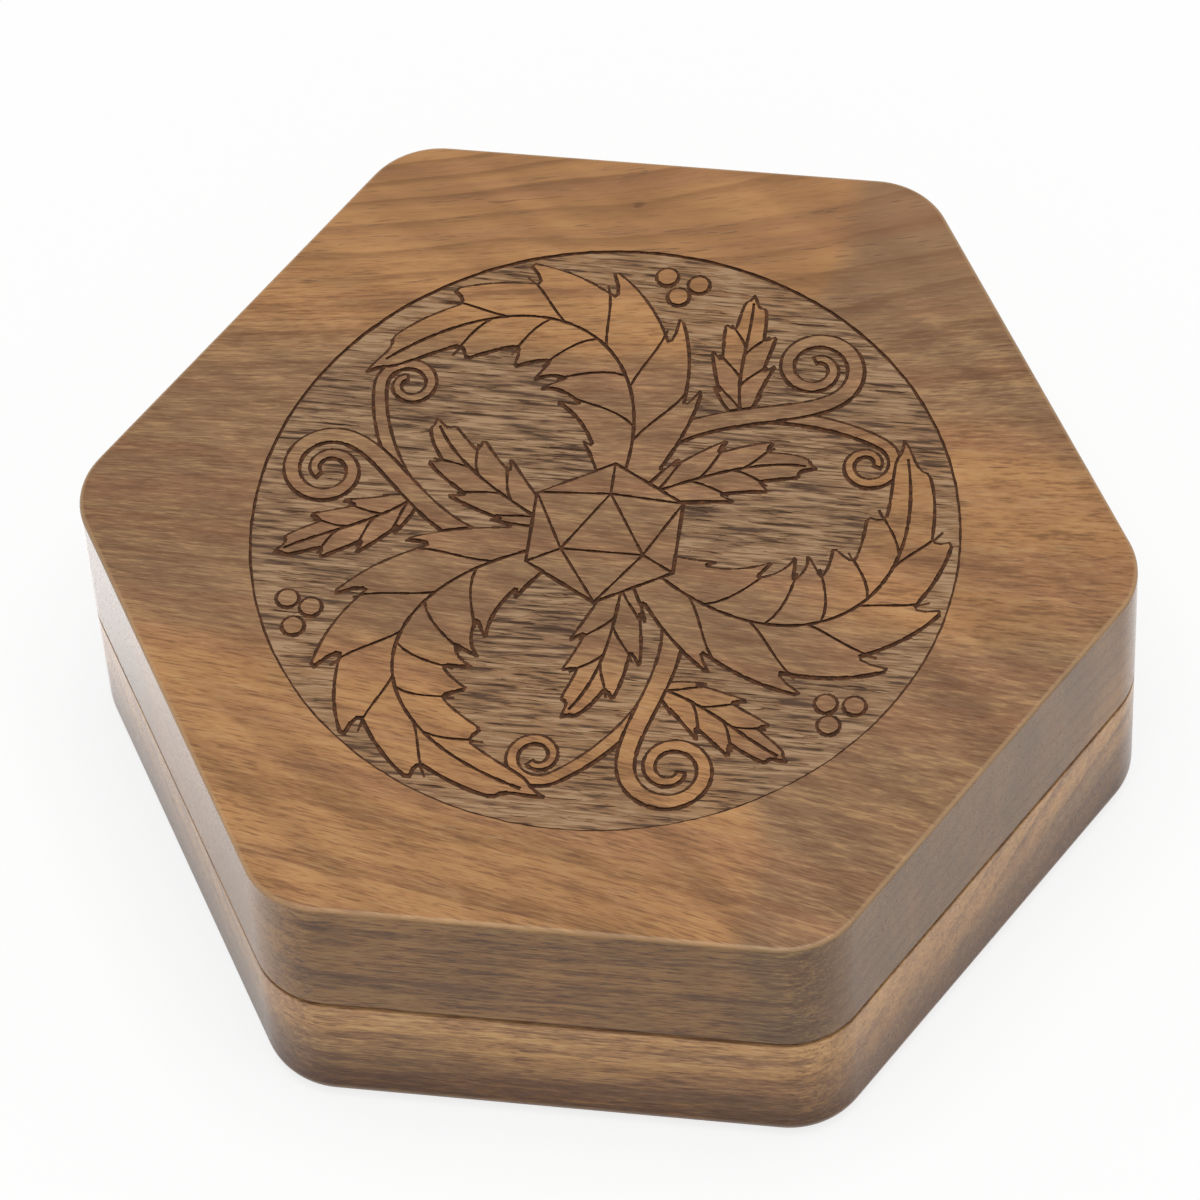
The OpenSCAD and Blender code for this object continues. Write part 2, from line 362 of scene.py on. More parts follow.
def end_tree(tree, geometry, material):
    """Ends a tree in real geometry with its material"""
    real = add(tree, "GeometryNodeRealizeInstances", {"Geometry": geometry})
    dressed = add(tree, "GeometryNodeSetMaterial", {"Geometry": real.outputs[0], "Material": material})
    add(tree, "NodeGroupOutput", {"Geometry": dressed.outputs[0]})
    return tree


def run_tree(obj, tree, values):
    """Runs a tree on an object and keeps the result as its plain mesh"""
    modifier = obj.modifiers.new(tree.name, "NODES")
    modifier.node_group = tree
    sockets = {s.name: s.identifier for s in tree.interface.items_tree if s.in_out == "INPUT"}
    for label, value in values.items():
        modifier[sockets[label]] = value
    return bake_modifiers(obj)


def copies_on(tree, points, piece):
    """Instances of some geometry on every point"""
    return add(tree, "GeometryNodeInstanceOnPoints", {"Points": points, "Instance": piece}).outputs[0]


def shape_of(tree, obj):
    """The geometry of an object that a tree is given"""
    return add(tree, "GeometryNodeObjectInfo", {"Object": obj}).outputs["Geometry"]


def honeycomb_tree():
    """Cuts one pocket in the middle of a block and a ring of the same pockets round it"""
    tree, given = geometry_tree("Honeycomb pockets",
        {"Pocket": "Object", "Pitch": "Float", "Outer pockets": "Int", "Material": "Material"})
    ring = add(tree, "GeometryNodeMeshCircle", {"Vertices": given["Outer pockets"], "Radius": given["Pitch"]})
    middle = add(tree, "GeometryNodeMeshLine", {"Count": 1})
    spots = add(tree, "GeometryNodeJoinGeometry")
    for points in (ring, middle):
        tree.links.new(points.outputs[0], spots.inputs[0])
    pockets = copies_on(tree, spots.outputs[0], shape_of(tree, given["Pocket"]))
    real = add(tree, "GeometryNodeRealizeInstances", {"Geometry": pockets})
    milled = add(tree, "GeometryNodeMeshBoolean", {"Mesh 1": given["Geometry"], "Mesh 2": real.outputs[0]},
        operation="DIFFERENCE", solver="EXACT")
    return end_tree(tree, milled.outputs["Mesh"], given["Material"])


def spots_tree():
    """Sets a copy of a piece on every point, each turned by its own angle"""
    tree, given = geometry_tree("Pieces on spots",
        {"Piece": "Object", "Most turn": "Float", "Seed": "Int", "Material": "Material"})
    turn = add(tree, "FunctionNodeRandomValue", {"Min": 0.0, "Seed": given["Seed"]}, data_type="FLOAT")
    tree.links.new(given["Most turn"], turn.inputs[3])
    upright = add(tree, "ShaderNodeCombineXYZ", {"Z": turn.outputs[1]})
    copies = copies_on(tree, given["Geometry"], shape_of(tree, given["Piece"]))
    turned = add(tree, "GeometryNodeRotateInstances", {"Instances": copies, "Rotation": upright.outputs[0]})
    return end_tree(tree, turned.outputs[0], given["Material"])


def row_tree():
    """Repeats a piece along X"""
    tree, given = geometry_tree("Row of knuckles", {"Count": "Int", "Step": "Float", "Material": "Material"})
    along = add(tree, "ShaderNodeCombineXYZ", {"X": given["Step"]})
    line = add(tree, "GeometryNodeMeshLine", {"Count": given["Count"], "Offset": along.outputs[0]},
        mode="OFFSET")
    return end_tree(tree, copies_on(tree, line.outputs[0], given["Geometry"]), given["Material"])


# Shader nodes. The helpers find their tree from the sockets that they are given.

def linear(colour):
    """A screen colour as the light that it stands for"""
    return tuple(c / 12.92 if c <= 0.04045 else ((c + 0.055) / 1.055) ** 2.4 for c in colour) + (1.0,)


def lighter(colour, factor):
    """A colour with that many times the light"""
    return tuple(factor * c for c in colour[:3]) + (1.0,)


def tree_of(*values):
    """The node tree of the first socket among these values"""
    return next(v.id_data for v in values if isinstance(v, bpy.types.NodeSocket))


def calc(operation, *values, clamp=False):
    node = add(tree_of(*values), "ShaderNodeMath", dict(enumerate(values)), operation=operation)
    node.use_clamp = clamp
    return node.outputs[0]


def plus(first, second):
    return calc("ADD", first, second)


def minus(first, second):
    return calc("SUBTRACT", first, second)


def times(first, second):
    return calc("MULTIPLY", first, second)


def larger(first, second):
    return calc("MAXIMUM", first, second)


def vector_calc(operation, *vectors, output="Vector"):
    node = add(tree_of(*vectors), "ShaderNodeVectorMath", dict(enumerate(vectors)), operation=operation)
    return node.outputs[output]


def scaled(vector, factor):
    """A vector or colour times a number"""
    return add(vector.id_data, "ShaderNodeVectorMath", {0: vector, 3: factor}, operation="SCALE").outputs[0]


def turned_about_z(vector, angle):
    node = add(vector.id_data, "ShaderNodeVectorRotate", {"Vector": vector, "Angle": angle},
        rotation_type="Z_AXIS")
    return node.outputs[0]


def parts_of(vector):
    """X, Y and Z of a vector"""
    return add(vector.id_data, "ShaderNodeSeparateXYZ", {0: vector}).outputs


def blend(factor, first, second, mode="MIX"):
    """Mixes two colours"""
    node = add(tree_of(factor, first, second), "ShaderNodeMix", {0: factor, 6: first, 7: second},
        data_type="RGBA", blend_type=mode)
    return node.outputs[2]


def span(value, low, high, to_low=0.0, to_high=1.0):
    """Maps a value smoothly from one span to another"""
    node = add(value.id_data, "ShaderNodeMapRange", {"Value": value, "From Min": low, "From Max": high,
        "To Min": to_low, "To Max": to_high}, interpolation_type="SMOOTHSTEP")
    return node.outputs[0]


def grain_noise(vector, stretch, detail=2.0, roughness=0.55, distortion=0.0, output="Fac"):
    """Noise whose cells are stretched: `stretch` is the number of cells per millimetre along X, Y and Z"""
    node = add(vector.id_data, "ShaderNodeTexNoise", {"Vector": vector_calc("MULTIPLY", vector, stretch),
        "Scale": 1.0, "Detail": detail, "Roughness": roughness, "Distortion": distortion})
    return node.outputs[output]


def shader_group(name, inputs):
    """A shader tree that puts out a look. An input is given by its default, or by its kind if it has none."""
    tree = bpy.data.node_groups.new(name, "ShaderNodeTree")
    for label, value in inputs.items():
        kind = value if isinstance(value, str) else "Vector" if isinstance(value, tuple) else "Float"
        socket = tree.interface.new_socket(label, in_out="INPUT", socket_type="NodeSocket" + kind)
        if kind != value:
            socket.default_value = value
    for label, kind in (("Color", "Color"), ("Height", "Float"), ("Roughness", "Float")):
        tree.interface.new_socket(label, in_out="OUTPUT", socket_type="NodeSocket" + kind)
    return tree, add(tree, "NodeGroupInput").outputs


@cache
def walnut_group():
    """Figure of a walnut board whose fibres run along X: growth rings, tone zones, fibres and pores"""
    tree, given = shader_group("Walnut figure", {
        "Position": "Vector", "Shift": (0, 0, 0), "Tilt": 0.0, "Pith": (0, 20, -70), "Ring width": 6.0,
        "Rings": 0.4, "Gold share": 0.5, "Fibres": 1.0, "Bands": 0.2, "Pores": 0.5, "Flame": 1.0,
        "Body": "Color", "Gold": "Color", "Pale": "Color", "Red": "Color", "Dark": "Color"})
    board = vector_calc("ADD", given["Position"], given["Shift"])

    def warped(cells, reach, detail):
        """The board's places, each moved by a slow wander"""
        wander = grain_noise(board, cells, detail, 0.5, output="Color")
        drift = vector_calc("MULTIPLY", vector_calc("SUBTRACT", wander, (0.5, 0.5, 0.5)), reach)
        return vector_calc("ADD", board, drift)

    # fibres hardly wander, growth rings wander a good deal
    straight = warped((0.012, 0.03, 0.03), (0.0, 4.0, 3.0), 1.0)
    wavy = warped((0.018, 0.03, 0.03), (0.0, 13.0, 8.0), 2.0)
    off_pith = vector_calc("SUBTRACT", turned_about_z(wavy, given["Tilt"]), given["Pith"])
    reach = vector_calc("LENGTH", vector_calc("MULTIPLY", off_pith, (0.0, 1.0, 1.0)), output="Value")
    ring_place = calc("FRACT", calc("DIVIDE", reach, given["Ring width"]))
    late_wood = times(span(ring_place, 0.50, 0.92), span(ring_place, 1.0, 0.92))
    ring_patch = span(grain_noise(board, (0.012, 0.04, 0.04), 1.0), 0.36, 0.60, 0.3, 1.0)
    rings = times(times(late_wood, ring_patch), given["Rings"])
    # tones change in broad zones, and a few fibres are redder
    zone = grain_noise(wavy, (0.014, 0.05, 0.05))
    gold = span(plus(zone, minus(given["Gold share"], 0.5)), 0.36, 0.66)
    red = span(grain_noise(straight, (0.02, 0.30, 0.30), 3.0), 0.46, 0.66, 0.0, 0.55)
    # fibres and pores
    broad = grain_noise(straight, (0.03, 0.55, 0.55), 2.0, 0.6)
    fine = grain_noise(straight, (0.18, 1.8, 1.8), 3.0, 0.65)
    hair = grain_noise(straight, (0.55, 5.0, 5.0), 2.0, 0.65)
    streak = plus(times(broad, 0.16), plus(times(fine, 0.42), times(hair, 0.42)))
    dark_streak = times(span(streak, 0.51, 0.39, 0.0, 0.8), given["Fibres"])
    pale_streak = times(span(streak, 0.50, 0.61, 0.0, 0.6), given["Fibres"])
    band = times(span(broad, 0.54, 0.36), given["Bands"])
    pore_field = grain_noise(straight, (0.33, 4.2, 4.2), 1.0, 0.5)
    pore_patch = span(broad, 0.40, 0.60, 0.35, 1.0)
    pore = times(span(pore_field, 0.60, 0.72), times(pore_patch, given["Pores"]))
    # a slanting painted sheen lies across the fibres, bands of brighter and darker colour
    sheen_pattern = grain_noise(turned_about_z(board, math.radians(38)), (0.02, 0.22, 0.06), 1.0, 0.5)
    painted_sheen = plus(1.0, times(span(sheen_pattern, 0.36, 0.64, -0.07, 0.08), given["Flame"]))
    colour = given["Body"]
    for share, tone in ((gold, "Gold"), (red, "Red"), (rings, "Dark"), (band, "Dark"), (pale_streak, "Pale"),
            (dark_streak, "Dark"), (pore, "Dark")):
        colour = blend(share, colour, given[tone])
    add(tree, "NodeGroupOutput", {"Color": scaled(colour, painted_sheen), "Height": minus(times(streak, 0.6), pore),
        "Roughness": span(streak, 0.38, 0.62, 0.40, 0.27)})
    return tree


@cache
def metal_group():
    """Brushed metal: fine scratches along X and a faint bloom"""
    tree, given = shader_group("Brushed metal",
        {"Position": "Vector", "Tint": "Color", "Roughness": 0.3, "Brushing": 0.5})
    scratch = grain_noise(given["Position"], (0.5, 22.0, 22.0), 3.0, 0.6)
    bloom = grain_noise(given["Position"], (0.35, 0.35, 0.35), 3.0, 0.6)
    rough = calc("ADD", given["Roughness"], times(minus(scratch, 0.5), given["Brushing"]), clamp=True)
    add(tree, "NodeGroupOutput", {"Color": scaled(given["Tint"], span(bloom, 0.35, 0.7, 0.82, 1.04)),
        "Height": times(scratch, given["Brushing"]), "Roughness": rough})
    return tree


# Materials

def new_material(name):
    """An empty material, its tree, and a point's place in the object in millimetres"""
    material = bpy.data.materials.new(name)
    material.use_nodes = True
    tree = material.node_tree
    tree.nodes.clear()
    return material, tree, scaled(add(tree, "ShaderNodeTexCoord").outputs["Object"], 1 / MM)


def finish_material(material, colour, roughness, height, distance, metallic=0.0, **fixed):
    """Ends a material in one Principled shader with a bump"""
    tree = material.node_tree
    bump = add(tree, "ShaderNodeBump", {"Height": height, "Distance": distance, "Strength": 1.0})
    shader = add(tree, "ShaderNodeBsdfPrincipled", {"Base Color": colour, "Roughness": roughness,
        "Metallic": metallic, "Normal": bump.outputs[0], **fixed})
    add(tree, "ShaderNodeOutputMaterial", {"Surface": shader.outputs[0]})
    return material


LID_BOARD = {"Shift": (12.0, 6.0, 3.0), "Tilt": -0.06, "Pith": (0.0, -14.0, -26.0), "Ring width": 2.7,
    "Pores": 0.6, "Flame": 1.3}
BASE_BOARD = {"Shift": (90.0, -40.0, 31.0), "Tilt": 0.0, "Pith": (0.0, 12.0, -120.0), "Ring width": 5.0,
    "Pores": 0.7, "Flame": 0.6}
OIL_IOR = 1.3
WOOD_BUMP = 0.04 * MM

# Factors on the wood's colour: for the lid's sides, their grain's own tone with painted shade; for its end
# grain, lighter than the sides as painted light; and for the base, darker at its foot and paler at its rim
SIDE_GRAIN_AND_SHADE_TONE = (0.83, 0.79, 0.60, 1.0)
END_GRAIN_AND_LIGHT_TONE = (0.97, 0.93, 0.71, 1.0)
FOOT_TONE = (0.60, 0.43, 0.19, 1.0)
RIM_TONE = (1.72, 1.80, 1.62, 1.0)

# The engraved ground, as a screen shows it
LASERED = (0.500, 0.385, 0.272)
BARED = (0.655, 0.530, 0.400)
SCORCHED = (0.280, 0.190, 0.125)

# The knot in the lid, in millimetres, with its Y drawn out
KNOT_STRETCH = (1.0, 1.25, 0.0)
KNOT_SPOT = (-1.8, 52.5, 0.0)


def walnut(tree, finish, place_mm, board):
    """The walnut group in the colours of the finish, with the values of one board"""
    tones = {tone: linear(getattr(finish, tone.lower())) for tone in ("Body", "Gold", "Pale", "Red", "Dark")}
    node = add(tree, "ShaderNodeGroup", {"Position": place_mm, **tones, **board}, node_tree=walnut_group())
    return node.outputs


def faces_of_block(tree):
    """How much a point lies on an upright side, and how much on end grain"""
    x, _, z = parts_of(add(tree, "ShaderNodeTexCoord").outputs["Normal"])
    return span(calc("ABSOLUTE", z), 0.75, 0.25), span(calc("ABSOLUTE", x), 0.2, 0.9)


def lid_walnut_look(tree, finish, place_mm, side, endwise):
    """The lid's board: golden along its back and front, browner in the middle"""
    x, y, _ = parts_of(place_mm)
    fan = times(times(x, -0.0055), minus(1.0, side))
    sway = add(tree, "ShaderNodeCombineXYZ", {"Y": times(y, fan)}).outputs[0]
    off_middle = calc("ABSOLUTE", minus(y, 3.0))
    on_right = span(x, 8.0, 30.0)
    left_gold = times(minus(1.0, on_right), span(off_middle, 6.0, 34.0, 0.10, 1.0))
    right_gold = times(on_right, span(off_middle, 6.0, 26.0, 0.60, 0.0))
    calm = times(span(y, 22.0, 40.0), 0.6)
    fibres = plus(minus(0.80, calm), times(side, 0.55))
    return walnut(tree, finish, vector_calc("ADD", place_mm, sway), {
        "Gold share": plus(left_gold, right_gold), "Fibres": minus(fibres, endwise),
        "Rings": minus(plus(0.44, times(endwise, 0.22)), times(side, 0.26)),
        "Bands": plus(0.08, times(minus(side, endwise), 0.4)), **LID_BOARD})


def pin_knot(place_mm, colour, dark):
    """A small dark knot near the back edge of the lid"""
    flat = vector_calc("MULTIPLY", place_mm, KNOT_STRETCH)
    ragged = grain_noise(place_mm, (0.9, 1.6, 0.0))
    away = plus(vector_calc("DISTANCE", flat, KNOT_SPOT, output="Value"), times(minus(ragged, 0.5), 1.6))
    knotty = larger(span(away, 0.9, 0.25, 0.0, 0.75), span(away, 4.5, 0.8, 0.0, 0.22))
    return blend(knotty, colour, dark)


def finish_wood(material, finish, wood, colour, side):
    """Ends an oiled wood. The meshes carry painted edge shading: eased edges are painted paler as a
    highlight, and the edges along the seam, whose value is below zero, are painted darker as shade. The
    planed sides are smoother than the sanded top."""
    worn = add(material.node_tree, "ShaderNodeAttribute", attribute_name="worn",
        attribute_type="GEOMETRY").outputs["Fac"]
    # painted highlight on the eased edges
    colour = blend(times(worn, 0.45), colour, linear(finish.worn))
    # painted shade along the seam, in the burnt colour
    colour = blend(times(worn, -0.6), colour, linear(finish.burnt))
    roughness = times(wood["Roughness"], minus(1.0, times(side, 0.65)))
    return finish_material(material, colour, roughness, wood["Height"], WOOD_BUMP, IOR=OIL_IOR)


def lid_walnut(finish):
    """The lid's wood, planed on its sides and sanded on top"""
    material, tree, place_mm = new_material("walnut_lid")
    side, endwise = faces_of_block(tree)
    wood = lid_walnut_look(tree, finish, place_mm, side, endwise)
    colour = pin_knot(place_mm, wood["Color"], linear(finish.dark))
    # the sides are darkened, partly their grain's own tone and partly painted shade; the end grain less so,
    # as painted light
    colour = blend(side, colour, blend(endwise, SIDE_GRAIN_AND_SHADE_TONE, END_GRAIN_AND_LIGHT_TONE), "MULTIPLY")
    return finish_wood(material, finish, wood, colour, side)


def base_walnut(finish):
    """The base's wood: paler under the seam and darker towards its foot"""
    material, tree, place_mm = new_material("walnut_base")
    side, endwise = faces_of_block(tree)
    wave = grain_noise(place_mm, (0.03, 0.05, 0.12))
    # the wood gets paler and more golden upwards, from the foot to the seam
    level = plus(parts_of(place_mm)["Z"], times(minus(wave, 0.5), 4.5))
    wood = walnut(tree, finish, place_mm, {"Gold share": span(level, 4.0, 17.0, 0.32, 0.78),
        "Fibres": minus(1.25, times(endwise, 0.5)), "Bands": minus(0.45, times(endwise, 0.33)),
        "Rings": plus(0.3, times(endwise, 0.4)), **BASE_BOARD})
    tone_by_height = blend(span(level, 1.5, 17.0), FOOT_TONE, RIM_TONE)
    return finish_wood(material, finish, wood, blend(1.0, wood["Color"], tone_by_height, "MULTIPLY"), side)


def engraved_ground(finish):
    """Lowered ground: the laser bares pale fibres and scorches others, in long thin streaks"""
    material, tree, place_mm = new_material("walnut_engraved_ground")
    wood = lid_walnut_look(tree, finish, place_mm, *faces_of_block(tree))
    streaks = grain_noise(place_mm, (0.17, 1.9, 0.0), 2.0, 0.6, 0.2)
    hairs = grain_noise(place_mm, (0.4, 5.0, 0.0), 2.0, 0.6)
    patch = grain_noise(place_mm, (0.04, 0.10, 0.0))
    engraving = bpy.context.scene.dice_engraving
    ground_mm = (TOP_Z - engraving.ground_depth) / MM
    relief = calc("DIVIDE", minus(parts_of(place_mm)["Z"], ground_mm), engraving.streak_depth / MM)
    relief = calc("MINIMUM", larger(relief, -1.0), 1.0)
    mixed = plus(times(streaks, 0.7), times(hairs, 0.3))
    mixed = plus(plus(mixed, times(minus(patch, 0.5), 0.22)), times(relief, 0.045))
    colour = blend(0.6, wood["Color"], linear(LASERED))
    colour = blend(span(mixed, 0.50, 0.59, 0.0, 0.85), colour, linear(BARED))
    colour = blend(span(mixed, 0.475, 0.39, 0.0, 0.9), colour, linear(SCORCHED))
    return finish_material(material, colour, 0.6, mixed, 0.10 * MM, **{"Specular IOR Level": 0.3})


def burnt_line(finish):
    """Charred outlines, sooty in places"""
    material, _, place_mm = new_material("walnut_burnt_line")
    soot = grain_noise(place_mm, (1.6, 2.6, 2.0), 3.0, 0.6)
    burnt = linear(finish.burnt)
    colour = blend(span(soot, 0.42, 0.66), burnt, lighter(burnt, 2.3))
    return finish_material(material, colour, 0.75, soot, 0.06 * MM, **{"Specular IOR Level": 0.25})


def metal(name, tint, roughness, brushing):
    """A brushed metal of that colour"""
    material, tree, place_mm = new_material(name)
    look = add(tree, "ShaderNodeGroup", {"Position": place_mm, "Tint": linear(tint), "Roughness": roughness,
        "Brushing": brushing}, node_tree=metal_group()).outputs
    return finish_material(material, look["Color"], look["Roughness"], look["Height"], 0.01 * MM,
        metallic=1.0)


def felt(finish):
    """Pressed wool: tangled short fibres, a few paler ones, and a soft sheen"""
    material, _, place_mm = new_material("felt")
    tangle = grain_noise(place_mm, (2.4, 2.4, 2.4), 4.0, 0.7, 1.6)
    lint = grain_noise(place_mm, (6.5, 1.3, 3.0), 2.0, 0.6, 2.5)
    cloud = grain_noise(place_mm, (0.22, 0.22, 0.22))
    tint = linear(finish.felt)
    colour = blend(span(tangle, 0.34, 0.62), lighter(tint, 0.55), tint)
    colour = blend(span(lint, 0.60, 0.74, 0.0, 0.7), colour, lighter(tint, 2.4))
    colour = blend(span(cloud, 0.4, 0.7, 0.0, 0.25), colour, lighter(tint, 2.4))
    return finish_material(material, colour, 0.95, tangle, 0.14 * MM,
        **{"Sheen Weight": 0.35, "Sheen Roughness": 0.45, "Specular IOR Level": 0.2})


@cache
def material(name):
    """The materials, each built once"""
    finish = bpy.context.scene.dice_finish
    makers = {
        "walnut_lid": lambda: lid_walnut(finish),
        "walnut_base": lambda: base_walnut(finish),
        "ground": lambda: engraved_ground(finish),
        "burnt": lambda: burnt_line(finish),
        "brass": lambda: metal("brass", finish.brass, 0.30, 0.25),
        "nickel": lambda: metal("nickel", finish.nickel, 0.22, 0.15),
        "felt": lambda: felt(finish),
    }
    return makers[name]()


# The wooden halves

CLEAR = 1 * MM  # how far a cutter reaches past the wood
HAIR = 0.02 * MM  # a step too small to see, that keeps two faces from falling together
LEAF_ARC_STEPS = 8
MOUTH_STEPS = 10


def block(name, low_radius, high_radius, surface):
    """A rounded hexagonal block as high as one half, standing on z = 0, with its edges marked for painted
    highlight and seam shade
    """
    # the edge at z = 0 is marked for a painted highlight, the edge at the seam for painted shade
    low = [(inset, z, math.sin(math.pi * k / 10)) for k, (inset, z) in enumerate(quarter(low_radius, 10))]
    high = [(inset, HALF_H - z, -math.sin(math.pi * k / 6))
        for k, (inset, z) in enumerate(quarter(high_radius, 6))]
    insets, heights, edge_shading_amounts = zip(*(low + high[::-1]))
    outlines = [rounded_hexagon(BOX_R, CORNER_R, -inset) for inset in insets]
    verts, faces = skin([at_height(outline, z) for outline, z in zip(outlines, heights)])
    obj = mesh_object(name, verts, faces, [surface])
    worn = obj.data.attributes.new("worn", "FLOAT", "POINT")
    worn.data.foreach_set("value", [w for w in edge_shading_amounts for _ in outlines[0]])
    return obj


def pocket_cutter(circum, radius, turn, floor_z, ease):
    """A hexagonal pocket open at the top, with a rounded mouth"""
    levels = [(0.0, floor_z)]
    for k in range(MOUTH_STEPS):
        t = math.pi / 2 * k / MOUTH_STEPS
        levels.append((ease * (1 - math.cos(t)), HALF_H - ease + ease * math.sin(t)))
    levels += [(ease, HALF_H + 0.1 * HAIR), (ease, HALF_H + CLEAR)]
    return skin([at_height(rounded_hexagon(circum, radius, grow, turn, steps=10), z) for grow, z in levels])


def leaf_outline(x, half, inner_y, outer_y, radius):
    """The outline of a hinge leaf or its mortise, with rounded inner corners"""
    inner = [Vector((x - half, inner_y)), Vector((x + half, inner_y))]
    outer = [Vector((x + half, outer_y)), Vector((x - half, outer_y))]
    return rounded(inner + outer, radius, LEAF_ARC_STEPS)[:2 * (LEAF_ARC_STEPS + 1)] + outer


def mortise_cutters(hardware):
    """The recesses of the two leaves in a rim, open at the back"""
    fit = hardware.mortise_fit
    floor_z = LEAF_FACE_Z - hardware.leaf_thickness
    parts = []
    for side in SIDE_SIGNS.values():
        outline = leaf_outline(side * HINGE_X, HINGE_LEN / 2 + fit, LEAF_INNER_Y - fit, BACK_Y + CLEAR,
            hardware.leaf_radius + fit)
        parts.append(skin([at_height(outline, floor_z), at_height(outline, HALF_H + CLEAR)]))
    return join_meshes(parts)


def drill(radius, low_z, high_z, spots, sides=40):
    """Round cutters on every spot"""
    profile = [(0, low_z), (radius, low_z), (radius, high_z), (0, high_z)]
    return join_meshes([lathe(profile, sides, (x, y, 0)) for x, y in spots])


def screw_spots():
    return [(side * HINGE_X + s * SCREW_HALF_PITCH, SCREW_Y) for side in SIDE_SIGNS.values() for s in (-1, 1)]


def magnet_spots():
    return [(side * MAGNET_SPOT.x, MAGNET_SPOT.y) for side in SIDE_SIGNS.values()]


def cut_rim(obj, hardware):
    """Everything that is let into one rim"""
    screw_play, magnet_play, below_screw = 0.03 * MM, 0.05 * MM, 0.3 * MM
    cut(obj, *mortise_cutters(hardware))
    cut(obj, *drill(hardware.screw_shank + screw_play, screw_low.z - below_screw, HALF_H, screw_spots(), 20))
    cut(obj, *drill(MAGNET_R + magnet_play, magnet_low.z, HALF_H + CLEAR, magnet_spots()))
    return obj


class DICEBOX_OT_base(bpy.types.Operator):
    """Mills the lower half: a block with a honeycomb of dice pockets, hinge mortises and magnet holes"""
    bl_idname = "dicebox.base"
    bl_label = "Base"

    def execute(self, context):
        sizes, hardware = context.scene.dice_box, context.scene.dice_hardware
        obj = block("base_block", sizes.foot_radius, sizes.seam_ease, material("walnut_base"))
        circum = (PAD_HALF_X + sizes.pocket_fit) / APOTHEM
        pocket = mesh_object("pocket_cutter", *pocket_cutter(circum, sizes.pocket_radius, math.pi / SIDES,
            POCKET_FLOOR_Z, sizes.mouth_ease))
        run_tree(obj, honeycomb_tree(), {"Pocket": pocket, "Pitch": POCKET_PITCH,
            "Outer pockets": sizes.pocket_count, "Material": material("walnut_base")})
        bpy.data.objects.remove(pocket)
        cut_rim(obj, hardware)
        place(shade(obj), "base", "walnut_base", "base_body")
        return {"FINISHED"}


# The ornament, in millimetres from the middle of the lid

def on_circle(radius, degrees):
    angle = math.radians(degrees)
    return (radius * math.cos(angle), radius * math.sin(angle))


def bezier(a, b, c, d, steps):
    points = []
    for k in range(steps + 1):
        t = k / steps
        u = 1 - t
        points.append(tuple(u ** 3 * a[j] + 3 * u * u * t * b[j] + 3 * u * t * t * c[j] + t ** 3 * d[j]
            for j in (0, 1)))
    return points


def turned(points, degrees):
    c, s = math.cos(math.radians(degrees)), math.sin(math.radians(degrees))
    return [(c * x - s * y, s * x + c * y) for x, y in points]


def left_normals(path):
    normals = []
    for k in range(len(path)):
        a, b = path[max(k - 1, 0)], path[min(k + 1, len(path) - 1)]
        length = math.dist(a, b)
        normals.append(((a[1] - b[1]) / length, (b[0] - a[0]) / length))
    return normals


def curl(path, turns, first_radius, last_radius, side, steps):
    """Lengthens a path by a tightening spiral, to the left for side 1 and to the right for side -1"""
    (ax, ay), (x, y) = path[-2:]
    heading = math.atan2(y - ay, x - ax)
    points = list(path)
    turn = side * 2 * math.pi * turns / steps
    for k in range(steps):
        radius = first_radius + (last_radius - first_radius) * (k + 0.5) / steps
        heading += turn
        x += radius * abs(turn) * math.cos(heading - turn / 2)
        y += radius * abs(turn) * math.sin(heading - turn / 2)
        points.append((x, y))
    return points


def ribbon(path, first_width, last_width):
    """Outline of a band along a path"""
    sides = ([], [])
    for k, ((x, y), (nx, ny)) in enumerate(zip(path, left_normals(path))):
        half = (first_width + (last_width - first_width) * k / (len(path) - 1)) / 2
        sides[0].append((x + nx * half, y + ny * half))
        sides[1].append((x - nx * half, y - ny * half))
    return sides[0] + sides[1][::-1]


def lobed_leaf(rib, width, lobes, lean=0.55, depth=0.34, steps=12, peak=0.72, lag=0.25):
    """Outline and veins of a leaf round a midrib, with pointed lobes that lean towards its tip"""
    normals, last = left_normals(rib), len(rib) - 1

    def on_rib(t):
        k = min(max(t, 0), 1) * last
        i = min(int(k), last - 1)
        return [[pair[i][j] * (1 - k + i) + pair[i + 1][j] * (k - i) for j in (0, 1)]
            for pair in (rib, normals)]

    def fullness(t):
        return math.sin(math.pi * t ** 0.75) ** 0.85

    def edge(sign, offset):
        points = []
        for k in range(lobes * steps + 1):
            t = k / (lobes * steps)
            phase = (t * lobes + offset) % 1.0
            swell = (phase / peak) ** 1.3 if phase < peak else ((1 - phase) / (1 - peak)) ** 1.6
            reach = width * fullness(t) * (1 - depth + depth * swell)
            p, n = on_rib((t + lean / lobes * (swell - 0.3) * fullness(t)) * 0.985)
            points.append((p[0] + sign * n[0] * reach, p[1] + sign * n[1] * reach))
        return points

    veins = [rib[:-2]]
    for sign, offset in ((1, 0.0), (-1, lag)):
        for k in range(lobes):
            tip = (k + peak - offset) / lobes
            if 0.12 < tip < 0.86:
                reach = width * fullness(tip) * 0.74 * sign
                start, rise, bow, end = [(p[0] + n[0] * reach * out, p[1] + n[1] * reach * out)
                    for (p, n), out in ((on_rib(tip - 0.5 / lobes), 0.0), (on_rib(tip - 0.18 / lobes), 0.25),
                        (on_rib(tip), 0.72), (on_rib(tip + 0.42 * lean / lobes), 1.0))]
                veins.append(bezier(start, rise, bow, end, 6))
    return edge(1, 0.0) + edge(-1, lag)[::-1][1:-1], veins


